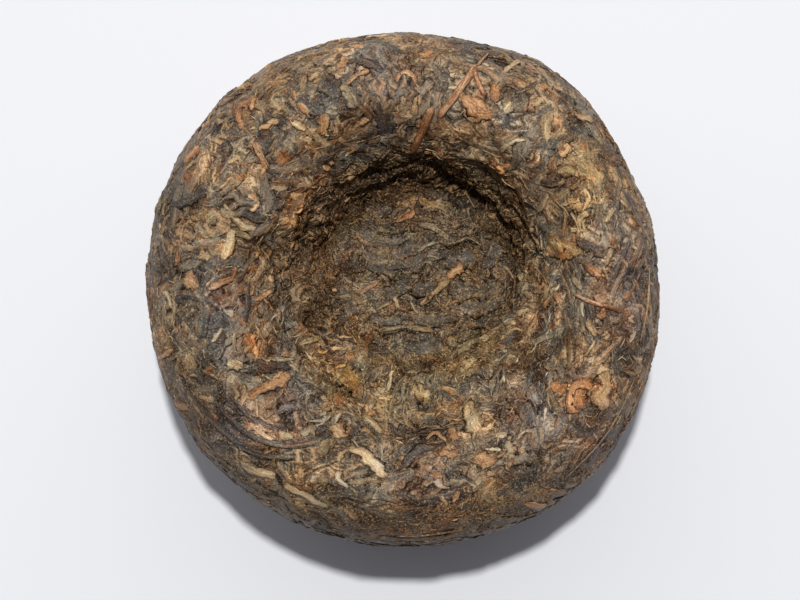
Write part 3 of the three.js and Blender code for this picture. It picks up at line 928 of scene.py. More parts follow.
def run_of_leaves(reach, angle, scatter):
    """The direction leaves lie in: each follows the nearest swirl, as far as it isn't combed."""
    point, down, around, _ = skin_axes(reach, angle)
    away = np.linalg.norm(point[:, None] - swirl_point[None], axis=-1)
    heading = swirl_heading[np.argmin(away, axis=1)]
    heading = (heading + np.pi / 2) % np.pi - np.pi / 2
    combed = COMB_SHARE * smooth_step(reach, *COMB_RISE) * (1 - smooth_step(reach, *COMB_FALL))
    heading = heading * (1 - combed) + leaf_rng.normal(0, scatter, len(reach))
    return down * np.cos(heading)[:, None] + around * np.sin(heading)[:, None]


# There are more leaves on the face than on the back, and most in the hollow
HOLLOW_RISE = (crest_reach + 5 * MM, crest_reach + 12 * MM)
HOLLOW_EXTRA = 0.7
FACE_WEIGHT = 1.2
BACK_WEIGHT = 0.8
FACE_OVERLAP = 4 * MM
SKIN_END = 0.5 * MM
LEAST_TURN_RADIUS = 3 * MM


def in_hollow(reach):
    return smooth_step(reach, *HOLLOW_RISE)


LEAF_WEIGHT = (np.where(skin_reach > bulge_reach - FACE_OVERLAP, FACE_WEIGHT, BACK_WEIGHT)
               * (1 + HOLLOW_EXTRA * in_hollow(skin_reach)))


def scatter_places(count, jitter=1.5 * MM, weight=LEAF_WEIGHT):
    reach, angle = spread_places(count, weight)
    reach = np.clip(reach + leaf_rng.normal(0, jitter, count), SKIN_END, skin_length - SKIN_END)
    turn_radius = np.maximum(along_skin(reach, skin_r), LEAST_TURN_RADIUS)
    return reach, angle + leaf_rng.normal(0, jitter, count) / turn_radius


TONE_START = 0.38
TONE_SPAN = 0.42
OTHER_BAND = (0.46, 0.6)
WEAR_SHARE = 1.8
DARK_WEAR = 0.4


def leaf_finish(name, stops, others, melt=(0, 0.95), felt=1, rim=0.1):
    """Dried leaf: folds and fine veins along it in two colours, painted shade along its edges, and edges that
    felt into the ground.
    """
    finish = Finish(name)
    ground, streak, grit = pressed_ground(finish)
    grain = finish.attribute("grain", "Vector")
    edge = finish.attribute("edge")
    fold = finish.noise(finish.stretched(grain, 0.17, 1.15), 1, 2)
    fibre = finish.noise(finish.stretched(grain, 0.35, 4.2), 1, 2, 0.6)
    other = finish.noise(finish.stretched(grain, 0.14, 0.6), 1.3, 2).between(*OTHER_BAND)
    hair = finish.noise(finish.stretched(grain, 0.9, 8.5), 1, 2, 0.6)
    tone = finish.attribute("tone") * TONE_SPAN + TONE_START + (fold - 0.5) * 0.95 + (fibre - 0.5) * 0.5
    # rim sets the painted shade along the edges of each strip
    tone = tone + (hair - 0.5) * 0.8 + (grit - 0.5) * 0.8 - edge * edge * rim
    leaf = finish.mix(other, finish.ramp(tone, stops), finish.ramp(tone, others))
    # More of the leaf is felted into the ground where the painted shade is deep
    wear = (finish.noise(grain, 0.9, 3) - 0.5) * WEAR_SHARE + finish.attribute("dim") * DARK_WEAR
    melted = (edge + wear * felt).between(*melt)
    colour = speckled(finish, finish.mix(melted, leaf, ground))
    finish.set(Base_Color=colour, Roughness=(grit - 0.5) * 0.4 + 0.5, Specular_IOR_Level=0.2)
    finish.bump(fibre * 0.6 + grit * 0.4, 0.15 * MM)
    return finish.material


BUNDLE_SIZE = 4
BUNDLE_PITCH = 1.5 * MM
BUNDLE_SCATTER = 0.5 * MM
BUNDLE_SLIDE = 2 * MM
BUNDLE_TURN = 0.5
BUNDLE_BEND = 0.9
LEAF_SWAY = 0.22
HOLLOW_SHRINK = 0.45
PATCH_SCALE = 3
PATCH_SCATTER = 0.8


def in_patches(reach, angle, side):
    """The half of the places that lies in the patches of one side, give or take."""
    stray = leaf_rng.normal(0, PATCH_SCATTER, len(reach))
    field = side * crags(skin_axes(reach, angle)[0] / PATCH_SCALE) + stray
    kept = np.sort(np.argsort(field)[:len(reach) // 2])
    return reach[kept], angle[kept]


def leaf_bundles(bundles, lengths, widths, patch_side):
    """Leaves in bundles that curve the same way, side by side, with lengths and widths in millimetres."""
    reach, angle = in_patches(*scatter_places(2 * bundles), patch_side)
    along = run_of_leaves(reach, angle, BUNDLE_TURN)
    point, _, _, normal = skin_axes(reach, angle)
    side = np.cross(normal, along)
    bend = leaf_rng.normal(0, BUNDLE_BEND, bundles)
    tone = leaf_rng.uniform(0, 1, bundles)
    row = np.repeat(np.arange(bundles), BUNDLE_SIZE)
    count = len(row)
    size = 1 - HOLLOW_SHRINK * in_hollow(reach[row])
    length = leaf_rng.uniform(*lengths, count) * MM * size
    width = leaf_rng.uniform(*widths, count) * MM * size
    rank = np.tile(np.arange(BUNDLE_SIZE) - (BUNDLE_SIZE - 1) / 2, bundles)
    offset = rank * BUNDLE_PITCH * size + leaf_rng.normal(0, BUNDLE_SCATTER, count)
    slide = leaf_rng.normal(0, BUNDLE_SLIDE, count) * size
    placed = point[row] + side[row] * offset[:, None] + along[row] * slide[:, None]
    sway = leaf_rng.normal(0, LEAF_SWAY, count)[:, None]
    headed = along[row] * np.cos(sway) + side[row] * np.sin(sway)
    tone = np.clip(tone[row] + leaf_rng.normal(0, 0.2, count), 0, 1)
    strips = strip_set(leaf_rng, placed, headed, length, width, tone)
    strips["bend"] = bend[row] + leaf_rng.normal(0, 0.2, count)
    strips["crown"] *= 0.8 - 0.3 * in_hollow(reach[row])
    return strips


LEAF_TONES = (0.2, 0.45, 0.62, 0.85, 1)
SLATE_STOPS = colour_stops(LEAF_TONES, (43, 29, 17), (71, 66, 58), (94, 88, 77), (142, 130, 108))
PLUM_STOPS = colour_stops(LEAF_TONES, (51, 31, 17), (86, 65, 52), (114, 90, 74), (158, 136, 111))
BROWN_STOPS = colour_stops(LEAF_TONES, (60, 38, 21), (112, 80, 55), (146, 110, 76), (190, 158, 120))
OLIVE_STOPS = colour_stops(LEAF_TONES, (58, 44, 26), (106, 91, 66), (138, 120, 88), (182, 162, 122))
slate_bundles = leaf_bundles(300, lengths=(6, 13), widths=(1.3, 2.8), patch_side=1)
slate = bent_strips("slate_leaves", slate_bundles, stations=12)
slate.data.materials.append(leaf_finish("slate_leaf", SLATE_STOPS, PLUM_STOPS))
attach(slate, "root")
brown_bundles = leaf_bundles(380, lengths=(3.5, 9), widths=(1, 2.3), patch_side=-1)
brown = bent_strips("brown_leaves", brown_bundles, stations=10)
brown.data.materials.append(leaf_finish("brown_leaf", BROWN_STOPS, OLIVE_STOPS))
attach(brown, "root")

# Flakes
# Broken bits of tip, stalk skin and old leaf, tan, straw and orange brown. They lie singly among the leaves,
# and the steam has glued them down.
FLAKE_STATIONS = 8
FLAKE_JITTER = 2.5 * MM
FLAKE_SCATTER = 0.8
FLAKE_SHRINK = 0.25


def scattered(reach, angle, length, width, scatter, dark_power):
    """Strips at scattered places, more of them dark than pale."""
    point = skin_axes(reach, angle)[0]
    along = run_of_leaves(reach, angle, scatter)
    tone = leaf_rng.uniform(0, 1, len(reach)) ** dark_power
    return strip_set(leaf_rng, point, along, length, width, tone)


def loose_flakes(count, lengths, widths):
    reach, angle = scatter_places(count, FLAKE_JITTER)
    size = 1 - FLAKE_SHRINK * in_hollow(reach)
    length = leaf_rng.uniform(*lengths, count) * MM * size
    width = leaf_rng.uniform(*widths, count) * MM * size
    strips = scattered(reach, angle, length, width, FLAKE_SCATTER, 1.5)
    strips["level"] = leaf_rng.uniform(-0.14, -0.04, count) * MM
    strips["taper"] = leaf_rng.uniform(-0.8, 0.8, count)
    strips["ragged"] = leaf_rng.uniform(0.05, 0.22, count)
    return strips


TAN_STOPS = colour_stops(LEAF_TONES, (96, 76, 53), (148, 122, 86), (178, 150, 110), (214, 193, 158))
RUSSET_STOPS = colour_stops(LEAF_TONES, (88, 56, 34), (138, 95, 60), (172, 123, 79), (208, 162, 112))
tan = bent_strips("tan_flakes", loose_flakes(560, lengths=(1.4, 5), widths=(0.5, 1.5)), FLAKE_STATIONS)
tan.data.materials.append(leaf_finish("tan_flake", TAN_STOPS, OLIVE_STOPS, melt=(0.3, 1.05)))
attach(tan, "root")
russet = bent_strips("russet_flakes", loose_flakes(200, lengths=(1.4, 4), widths=(0.7, 2.2)), FLAKE_STATIONS)
russet.data.materials.append(leaf_finish("russet_flake", RUSSET_STOPS, BROWN_STOPS, melt=(0.2, 1)))
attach(russet, "root")

# Fibres
# Hairs, veins and torn leaf edges, thinner than a millimetre, that catch the light all over the cake. The
# pale ones are the down of the tips and the dark ones are veins.
FIBRE_ACROSS = np.array([-1, 0, 1])
FIBRE_STATIONS = 4
FIBRE_JITTER = 2.5 * MM
FIBRE_SCATTER = 0.9
SLOPE_FIBRES = 0.4
FLOOR_FIBRES = 0.55


def fibre_places(count):
    weight = 1 + SLOPE_FIBRES * in_hollow(skin_reach) - FLOOR_FIBRES * (skin_reach > foot_of_wall)
    return scatter_places(count, FIBRE_JITTER, LEAF_WEIGHT * weight)


def fibres(reach, angle, lengths, widths, curl=1, bright=0):
    count = len(reach)
    length = leaf_rng.uniform(*lengths, count) * MM
    width = leaf_rng.uniform(*widths, count) * MM
    strips = scattered(reach, angle, length, width, FIBRE_SCATTER, 1.4)
    strips["level"] = leaf_rng.uniform(-0.04, 0.06, count) * MM
    strips["crown"] = width * 0.4
    strips["fold"] = 0 * width
    strips["tilt"] = 0 * width
    strips["bend"] = leaf_rng.normal(0, curl, count)
    # A random share of each fibre's painted shade is left off, so that some show unshaded in it
    strips["bright"] = leaf_rng.uniform(0, bright, count)
    return strips


PALE_STOPS = colour_stops(LEAF_TONES, (104, 84, 58), (146, 121, 88), (176, 151, 114), (222, 202, 166))
DARK_STOPS = colour_stops(LEAF_TONES, (28, 20, 14), (46, 35, 26), (62, 49, 38), (90, 73, 56))
pale = bent_strips("pale_fibres",
                   fibres(*fibre_places(4600), lengths=(0.5, 2.6), widths=(0.05, 0.14), bright=0.7),
                   FIBRE_STATIONS, FIBRE_ACROSS)
pale.data.materials.append(leaf_finish("pale_fibre", PALE_STOPS, TAN_STOPS, melt=(0.55, 1.3)))
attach(pale, "root")
dark = bent_strips("dark_fibres", fibres(*fibre_places(800), lengths=(1, 4), widths=(0.08, 0.28)),
                   FIBRE_STATIONS, FIBRE_ACROSS)
dark.data.materials.append(leaf_finish("dark_fibre", DARK_STOPS, PLUM_STOPS, melt=(0.2, 1)))
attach(dark, "root")

# Gold frizz
# The down of golden tips, rubbed off in tufts of short curled hairs. The tufts are given by their middles and
# spreads in pixels.
TUFTS = np.array([(350, 376, 34, 18), (420, 394, 34, 14), (470, 368, 24, 14), (318, 300, 16, 34),
                  (562, 246, 18, 9), (590, 178, 12, 18)])
FRIZZ = 900
FRIZZ_STATIONS = 5
GOLD_STOPS = colour_stops(LEAF_TONES, (96, 70, 38), (146, 112, 66), (184, 148, 96), (228, 202, 156))


def frizz_places():
    tuft = TUFTS[leaf_rng.integers(len(TUFTS), size=FRIZZ)]
    return under_pixels(tuft[:, :2] + leaf_rng.normal(size=(FRIZZ, 2)) * tuft[:, 2:])


frizz = bent_strips("gold_frizz",
                    fibres(*frizz_places(), lengths=(0.4, 1.5), widths=(0.05, 0.13), curl=3, bright=1),
                    FRIZZ_STATIONS, FIBRE_ACROSS)
frizz.data.materials.append(leaf_finish("gold_hair", GOLD_STOPS, PALE_STOPS, melt=(0.5, 1.3)))
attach(frizz, "root")

# Crumbs
# Bits of broken leaf, gold to nearly black, some broad and some thin. They cling to the loose wall of the
# hollow and the slopes beside it, and most of them lie in the arc of painted shadow under the far wall.
CRUMB_STATIONS = 5
CRUMBS = 1300
CRUMB_CHOICE = 5
CRUMB_STRAY = 0.09
CRUMB_JITTER = 1.5 * MM
CRUMB_SCATTER = 1.5
BROAD_SHARE = 0.4
SHORTEST_CRUMB = 0.6
BROAD_LENGTH = 1.8
THIN_LENGTH = 3.6
BROAD_WIDTHS = (0.4, 1.1)
THIN_WIDTHS = (0.12, 0.5)
CRUMB_STOPS = colour_stops(LEAF_TONES, (44, 29, 17), (100, 73, 46), (150, 115, 74), (210, 172, 120))


def crumb_strips():
    reach, angle = scatter_places(CRUMB_CHOICE * CRUMBS, CRUMB_JITTER, wall_share(skin_reach))
    kept = np.argsort(-painted_arc_shadow(reach, angle) - leaf_rng.exponential(CRUMB_STRAY, len(reach)))[:CRUMBS]
    reach, angle = reach[kept], angle[kept]
    broad = leaf_rng.uniform(0, 1, CRUMBS) < BROAD_SHARE
    length = leaf_rng.uniform(SHORTEST_CRUMB, np.where(broad, BROAD_LENGTH, THIN_LENGTH)) * MM
    least, most = (np.where(broad, *widths) for widths in zip(BROAD_WIDTHS, THIN_WIDTHS))
    width = leaf_rng.uniform(least, most) * MM
    strips = scattered(reach, angle, length, width, CRUMB_SCATTER, 1.7)
    strips["level"] = leaf_rng.uniform(-0.14, 0.14, CRUMBS) * MM
    strips["crown"] = leaf_rng.uniform(0.15, 0.4, CRUMBS) * width
    strips["tilt"] = leaf_rng.normal(0, 0.25, CRUMBS) * width
    strips["bend"] = leaf_rng.normal(0, 1.2, CRUMBS)
    strips["bright"] = leaf_rng.uniform(0, 0.6, CRUMBS)
    strips["fold"] = 0 * width
    return strips


crumbs = bent_strips("wall_crumbs", crumb_strips(), CRUMB_STATIONS, FIBRE_ACROSS)
crumbs.data.materials.append(leaf_finish("crumb", CRUMB_STOPS, BROWN_STOPS, melt=(0.45, 1.2)))
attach(crumbs, "root")

# Twigs
# Stalks that were pressed in with the leaves, stripped of them and dried hard. They lie half sunk in the
# face, and the longest is broken in two lengths.
TRACE_STATIONS = 16
TRACE_RISE = 0.1 * MM
# Traced strips take only part of the painted shade
TRACE_PAINTED_SHADE_LIFT = 0.55


def traced_strips(name, traces, wider=1, **looks):
    """Strips laid along paths in pixels, each with its width in pixels and its tone, later ones higher."""
    paths, width, tone = zip(*traces)
    pixels = np.stack([smooth_path(path, TRACE_STATIONS) for path in paths])
    line, _, _, normal = skin_axes(*under_pixels(pixels))
    along = np.gradient(line, axis=1)
    side = np.cross(normal, along)
    side = side / np.linalg.norm(side, axis=-1, keepdims=True)
    width = np.array(width) * MM_PER_PIXEL * wider
    middle = TRACE_STATIONS // 2
    strips = strip_set(leaf_rng, line[:, middle], along[:, middle], width, width, np.array(tone))
    strips["level"] = np.linspace(0, TRACE_RISE, len(width))
    strips["ragged"] = leaf_rng.uniform(0.1, 0.24, len(width))
    strips["bright"] = np.full(len(width), TRACE_PAINTED_SHADE_LIFT)
    for key, value in looks.items():
        strips[key] = value * width if key in ("crown", "fold") else np.full(len(width), value)
    return lay_strips(name, line, side, strips)


TWIGS = [
    ([(477, 65), (458, 92), (437, 119)], 8.5, 0.7),
    ([(432, 107), (422, 131), (411, 154)], 9, 0.3),
    ([(474, 70), (478, 82), (485, 97)], 4.5, 0.42),
    ([(573, 294), (588, 301), (604, 306)], 4.5, 0.72),
    ([(602, 305), (612, 308), (622, 312)], 4.5, 0.3),
    ([(412, 163), (428, 158), (443, 151)], 3.5, 0.7),
    ([(328, 207), (337, 201), (346, 194)], 3, 0.85),
    ([(489, 53), (482, 60), (477, 66)], 3.5, 0.35),
]
TWIG_STOPS = colour_stops(LEAF_TONES, (80, 46, 22), (130, 85, 52), (162, 118, 84), (202, 166, 130))
twigs = traced_strips("twigs", TWIGS, crown=0.38, fold=0, ragged=0.04, taper=0, blunt_start=14, blunt_end=14)
twigs.data.materials.append(leaf_finish("twig_bark", TWIG_STOPS, TWIG_STOPS, melt=(1, 1.5), felt=0.4))
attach(twigs, "root")

# Floor leaves
# Broad slate leaves that the knot pressed smooth. They lie flat on the floor of the hollow in wavy bands, and
# the steam has glued them there.
FLOOR_LEAVES = [
    ([(356, 229), (374, 242), (395, 245), (418, 236)], 12, 0.45),
    ([(362, 251), (384, 258), (404, 252), (424, 247)], 13, 0.4),
    ([(366, 264), (385, 268), (406, 264)], 12, 0.3), ([(406, 270), (424, 259), (442, 255)], 11, 0.6),
    ([(446, 257), (460, 260), (476, 254)], 14, 0.25), ([(410, 284), (424, 290), (436, 283)], 13, 0.3),
    ([(446, 287), (470, 292), (502, 287)], 16, 0.4), ([(448, 303), (475, 307), (504, 300)], 15, 0.45),
    ([(460, 319), (482, 321), (500, 312)], 13, 0.35), ([(410, 317), (435, 322), (460, 315)], 12, 0.5),
    ([(342, 284), (349, 300), (352, 316)], 12, 0.2), ([(370, 317), (388, 322), (406, 317)], 10, 0.45),
    ([(384, 296), (400, 288), (412, 276)], 11, 0.35), ([(480, 268), (492, 258), (498, 244)], 11, 0.3),
    ([(404, 344), (424, 348), (446, 343)], 11, 0.4), ([(376, 214), (392, 206)], 9, 0.3),
]
FLOOR_STOPS = colour_stops(LEAF_TONES, (50, 34, 20), (77, 68, 56), (97, 87, 74), (136, 122, 102))
floor_leaves = traced_strips("floor_leaves", FLOOR_LEAVES, wider=1.5, crown=0.02, level=-0.03 * MM,
                             bright=0.75)
floor_leaves.data.materials.append(leaf_finish("floor_leaf", FLOOR_STOPS, FLOOR_STOPS, melt=(0.2, 1.05)))
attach(floor_leaves, "root")

# Straw leaves
# Old leaves that dried pale, tips with their down and a few pale threads along the rim. They are broken flat,
# glued down by the steam, and lie where the picture shows them.
STRAW = [
    ([(233, 230), (229, 245), (223, 260)], 12, 0.9),
    ([(223, 203), (233, 218), (247, 228), (258, 229)], 5, 0.66), ([(290, 120), (306, 130)], 7, 0.6),
    ([(309, 80), (318, 72)], 5, 0.72), ([(248, 129), (256, 127)], 2.5, 1),
    ([(498, 152), (517, 140), (528, 139)], 4, 0.66), ([(524, 217), (538, 210), (548, 194)], 5, 0.76),
    ([(583, 186), (588, 200), (580, 212)], 5, 0.56), ([(559, 206), (581, 198)], 4, 0.66),
    ([(605, 222), (614, 208)], 5, 0.55), ([(605, 265), (613, 248)], 5, 0.45),
    ([(199, 253), (211, 258)], 9, 0.5),
    ([(304, 409), (306, 419), (316, 421), (332, 414), (335, 409)], 3, 0.7),
    ([(301, 435), (316, 426)], 6, 0.55), ([(251, 426), (264, 435), (277, 442)], 6, 0.5),
    ([(230, 361), (244, 367)], 6, 0.6), ([(211, 343), (223, 328)], 4, 0.66),
    ([(254, 364), (273, 361), (296, 359)], 3, 0.5), ([(339, 333), (346, 337), (354, 337)], 2.5, 0.8),
    ([(335, 371), (351, 388)], 5, 0.6), ([(517, 314), (529, 309)], 6, 0.72),
    ([(586, 320), (597, 335)], 9, 0.55), ([(629, 343), (636, 330)], 4, 0.68),
    ([(457, 353), (470, 347)], 8, 0.6), ([(455, 352), (468, 344), (482, 337)], 6, 0.5),
    ([(459, 372), (468, 364), (477, 357)], 7, 0.55), ([(507, 366), (510, 357), (516, 354)], 4, 0.78),
    ([(466, 402), (478, 432)], 13, 0.45), ([(484, 449), (502, 450)], 3.5, 0.76),
    ([(517, 440), (522, 433), (534, 430)], 4, 0.64),
    ([(376, 331), (390, 329), (405, 326), (420, 329), (438, 332)], 7, 0.5),
    ([(417, 225), (429, 226), (439, 231), (450, 239)], 5, 0.5),
    ([(422, 223), (434, 226), (446, 234)], 1.8, 0.85), ([(420, 210), (434, 206), (450, 213)], 2.6, 0.45),
    ([(417, 252), (426, 246), (436, 242)], 3, 0.5), ([(423, 257), (432, 256), (441, 260)], 1.6, 0.5),
    ([(444, 308), (448, 303), (451, 298)], 3, 0.55), ([(503, 265), (509, 270), (514, 279)], 2, 0.6),
    ([(362, 254), (367, 260), (365, 267)], 2, 0.6), ([(375, 311), (383, 306), (392, 303)], 2.4, 0.5),
    ([(437, 232), (444, 236), (449, 241)], 3, 0.7), ([(393, 296), (396, 301), (398, 308)], 4, 0.95),
    ([(411, 302), (414, 308), (418, 314)], 2.6, 0.8), ([(420, 306), (433, 294), (449, 280)], 6, 0.6),
    ([(502, 74), (510, 67), (521, 62), (524, 67)], 4.5, 0.72),
    ([(444, 243), (452, 243), (459, 241), (466, 238), (475, 241), (482, 247)], 1.6, 0.35),
    ([(340, 86), (352, 92)], 6, 0.4), ([(600, 371), (607, 383), (601, 396), (607, 410)], 15, 0.42),
    ([(597, 374), (605, 369), (611, 375)], 5, 0.66), ([(637, 375), (607, 433), (563, 481)], 2, 0.6),
    ([(467, 529), (430, 535), (394, 537)], 2, 0.5), ([(649, 262), (648, 300), (640, 345)], 1.8, 0.7),
    ([(171, 398), (205, 443), (243, 480)], 1.8, 0.5), ([(338, 462), (341, 454), (349, 449)], 4, 0.5),
    ([(347, 449), (360, 452), (374, 464), (386, 479)], 11, 0.9),
    ([(240, 464), (257, 471), (277, 476)], 11, 0.95), ([(283, 485), (301, 493), (330, 509)], 8, 0.95),
]
STRAW_STOPS = colour_stops(LEAF_TONES, (110, 92, 66), (156, 133, 100), (184, 160, 123), (220, 200, 162),
                           (236, 222, 192))
# rim here is the painted shade along the strips' edges
STANDING_OUT = {"melt": (0.5, 1.15), "felt": 0.85, "rim": 0.3}
straw = traced_strips("straw_leaves", STRAW, wider=1.25, crown=0.035)
straw.data.materials.append(leaf_finish("straw_leaf", STRAW_STOPS, TAN_STOPS, **STANDING_OUT))
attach(straw, "root")

# Orange leaves
# Leaves and stalk skins that stayed orange brown, some of them curled, broken and pressed flat with the rest.
ORANGE = [
    ([(463, 96), (474, 106), (485, 118)], 17, 0.42), ([(474, 114), (493, 115)], 13, 0.45),
    ([(496, 82), (495, 102)], 9, 0.34), ([(575, 115), (585, 118), (594, 119)], 8, 0.72),
    ([(560, 156), (570, 145)], 9, 0.66), ([(539, 91), (546, 86), (553, 92)], 6, 0.46),
    ([(545, 250), (572, 252)], 14, 0.42), ([(584, 266), (602, 275)], 9, 0.2),
    ([(249, 194), (256, 201), (254, 209), (249, 209)], 5.5, 0.85),
    ([(254, 141), (261, 156), (268, 170)], 6, 0.6), ([(325, 113), (322, 136)], 10, 0.68),
    ([(295, 101), (313, 117)], 6, 0.5), ([(251, 110), (254, 97)], 5, 0.6),
    ([(359, 125), (368, 118)], 7, 0.66), ([(184, 162), (200, 146)], 13, 0.4),
    ([(207, 289), (240, 275)], 6, 0.6), ([(184, 276), (191, 281), (198, 288)], 15, 0.5),
    ([(323, 166), (330, 170)], 5, 0.8), ([(395, 82), (404, 72), (414, 78), (415, 86)], 5, 0.7),
    ([(345, 86), (357, 75), (370, 70)], 5, 0.5), ([(157, 359), (173, 350)], 5.5, 0.42),
    ([(174, 404), (189, 408)], 10, 0.46), ([(247, 398), (262, 389), (277, 383)], 7, 0.4),
    ([(266, 388), (279, 381), (290, 373)], 10, 0.72), ([(333, 424), (343, 438)], 12, 0.54),
    ([(209, 411), (218, 419)], 5, 0.44), ([(254, 300), (273, 290)], 5, 0.62),
    ([(254, 346), (257, 357)], 6, 0.5), ([(344, 507), (358, 520)], 7, 0.46),
    ([(553, 292), (562, 304)], 7, 0.5), ([(560, 310), (556, 326)], 9, 0.56),
    ([(483, 336), (503, 324)], 5, 0.46), ([(426, 355), (440, 361)], 6, 0.3),
    ([(441, 387), (457, 393)], 6, 0.56), ([(550, 384), (566, 391)], 9, 0.36),
    ([(583, 388), (580, 398), (582, 408)], 16, 0.25),
    ([(593, 390), (587, 384), (579, 383), (572, 390), (570, 399), (573, 408), (582, 411)], 10, 0.6),
    ([(570, 384), (568, 392)], 4.5, 0.92), ([(475, 456), (495, 464)], 15, 0.6),
    ([(426, 440), (434, 433), (450, 445)], 4.5, 0.54), ([(450, 427), (455, 440)], 7, 0.5),
    ([(440, 452), (457, 456)], 6, 0.5), ([(453, 503), (459, 491)], 5, 0.5),
    ([(524, 503), (545, 508)], 8, 0.46), ([(395, 222), (407, 217), (421, 208)], 5, 0.4),
    ([(357, 297), (367, 288), (380, 280)], 5, 0.2), ([(332, 290), (337, 290)], 5, 0.75),
    ([(447, 279), (455, 271), (464, 266)], 9, 0.55), ([(233, 101), (239, 117), (242, 129)], 7, 0.25),
]
ORANGE_STOPS = colour_stops(LEAF_TONES, (106, 70, 44), (160, 118, 80), (188, 147, 104), (224, 188, 142))
orange = traced_strips("orange_leaves", ORANGE, wider=1.25, crown=0.04)
orange.data.materials.append(leaf_finish("orange_leaf", ORANGE_STOPS, RUSSET_STOPS, **STANDING_OUT))
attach(orange, "root")

# Slate strands
# Long black leaves twisted into strands, that run side by side along the lower left of the ring.
STRANDS = [
    ([(213, 400), (233, 421), (261, 440), (285, 445), (320, 438), (337, 426)], 8, 0.45),
    ([(190, 393), (213, 421), (237, 445)], 6, 0.6),
    ([(230, 395), (246, 414), (268, 426), (292, 430)], 7, 0.35),
    ([(178, 375), (200, 405), (228, 434), (255, 452)], 9, 0.25),
    ([(237, 445), (261, 455), (300, 456)], 7, 0.5), ([(276, 413), (286, 408), (299, 408)], 8, 0.8),
    ([(246, 372), (270, 366), (292, 366)], 9, 0.3), ([(345, 60), (365, 62), (385, 72)], 10, 0.3),
    ([(170, 205), (190, 200), (208, 190)], 10, 0.25), ([(400, 470), (420, 452), (440, 448)], 12, 0.45),
    ([(515, 93), (528, 88), (540, 80)], 4, 0.7),
]
strands = traced_strips("slate_strands", STRANDS, wider=1.2, crown=0.08)
# rim here is the painted shade along the strands' edges
strand_finish = leaf_finish("slate_strand", SLATE_STOPS, PLUM_STOPS, melt=(0.5, 1.1), felt=0.7, rim=0.3)
strands.data.materials.append(strand_finish)
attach(strands, "root")

# Leaf patches
# Leaves pressed so flat that little but their colour shows, slate, gold, olive to straw and red brown. Their
# edges are lost in the felt.
SLATE_PATCHES = [
    ([(322, 77), (331, 88), (338, 99)], 15, 0.3), ([(297, 92), (312, 106), (327, 118)], 11, 0.25),
    ([(218, 146), (228, 158)], 13, 0.1), ([(330, 130), (340, 139)], 12, 0.1),
    ([(460, 49), (478, 57)], 12, 0.1), ([(621, 186), (634, 210), (647, 238)], 14, 0.2),
    ([(370, 40), (390, 46), (402, 58)], 14, 0.2), ([(168, 300), (190, 298), (205, 304)], 12, 0.15),
    ([(346, 205), (365, 214)], 10, 0.1), ([(575, 240), (592, 246), (608, 256)], 12, 0.3),
    ([(360, 345), (385, 350), (400, 345)], 10, 0.3), ([(258, 140), (268, 150)], 14, 0.3),
    ([(375, 100), (384, 118), (386, 136)], 13, 0.25), ([(430, 60), (442, 76), (440, 94)], 14, 0.3),
    ([(565, 420), (585, 432), (605, 428)], 14, 0.25), ([(395, 490), (420, 500), (446, 500)], 14, 0.3),
    ([(500, 470), (520, 478), (540, 470)], 13, 0.25), ([(160, 250), (170, 270), (168, 288)], 12, 0.25),
]
slate_patches = traced_strips("slate_patches", SLATE_PATCHES, wider=1.3, crown=0.05, level=-0.05 * MM,
                              bright=0.3)
slate_patch_finish = leaf_finish("slate_patch", SLATE_STOPS, PLUM_STOPS, melt=(0.3, 1.1), felt=0.8)
slate_patches.data.materials.append(slate_patch_finish)
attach(slate_patches, "root")
GOLD_PATCHES = [
    ([(546, 240), (562, 246), (582, 252)], 16, 0.65), ([(580, 160), (590, 176), (600, 194)], 16, 0.4),
    ([(566, 200), (584, 208)], 12, 0.4), ([(340, 372), (360, 384)], 16, 0.3),
    ([(410, 392), (432, 396)], 14, 0.3), ([(462, 372), (480, 360)], 14, 0.35),
    ([(398, 206), (418, 202), (440, 206), (456, 214)], 9, 0.2), ([(200, 220), (212, 210)], 10, 0.3),
]
gold = traced_strips("gold_patches", GOLD_PATCHES, wider=1.3, crown=0.04, level=-0.02 * MM)
gold.data.materials.append(leaf_finish("gold_patch", GOLD_STOPS, BROWN_STOPS, melt=(0.05, 1), felt=0.9))
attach(gold, "root")
OLIVE_PATCHES = [
    ([(361, 80), (364, 62)], 8, 0.45), ([(343, 84), (350, 96), (357, 108)], 11, 0.3),
    ([(205, 222), (216, 212)], 14, 0.3), ([(171, 246), (169, 257)], 6, 0.45),
    ([(232, 150), (246, 158)], 13, 0.25), ([(225, 174), (238, 177)], 6, 0.5),
    ([(405, 95), (402, 106), (404, 117)], 5, 0.5), ([(551, 110), (546, 132), (553, 150)], 9, 0.35),
    ([(512, 101), (503, 114)], 10, 0.25), ([(577, 162), (592, 172), (602, 186)], 20, 0.32),
    ([(559, 233), (582, 230), (598, 238)], 3.5, 0.45), ([(530, 99), (540, 92)], 4, 0.6),
    ([(604, 117), (612, 134), (617, 152)], 3, 0.6), ([(226, 363), (241, 366)], 8, 0.5),
    ([(260, 361), (286, 360), (301, 368)], 3, 0.5), ([(556, 306), (560, 319)], 8, 0.6),
    ([(472, 344), (488, 334), (498, 326)], 7, 0.6),
]
olive = traced_strips("olive_patches", OLIVE_PATCHES, wider=1.3, crown=0.06, level=-0.06 * MM)
olive.data.materials.append(leaf_finish("olive_patch", STRAW_STOPS, OLIVE_STOPS, melt=(0.4, 1.2), felt=0.8))
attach(olive, "root")
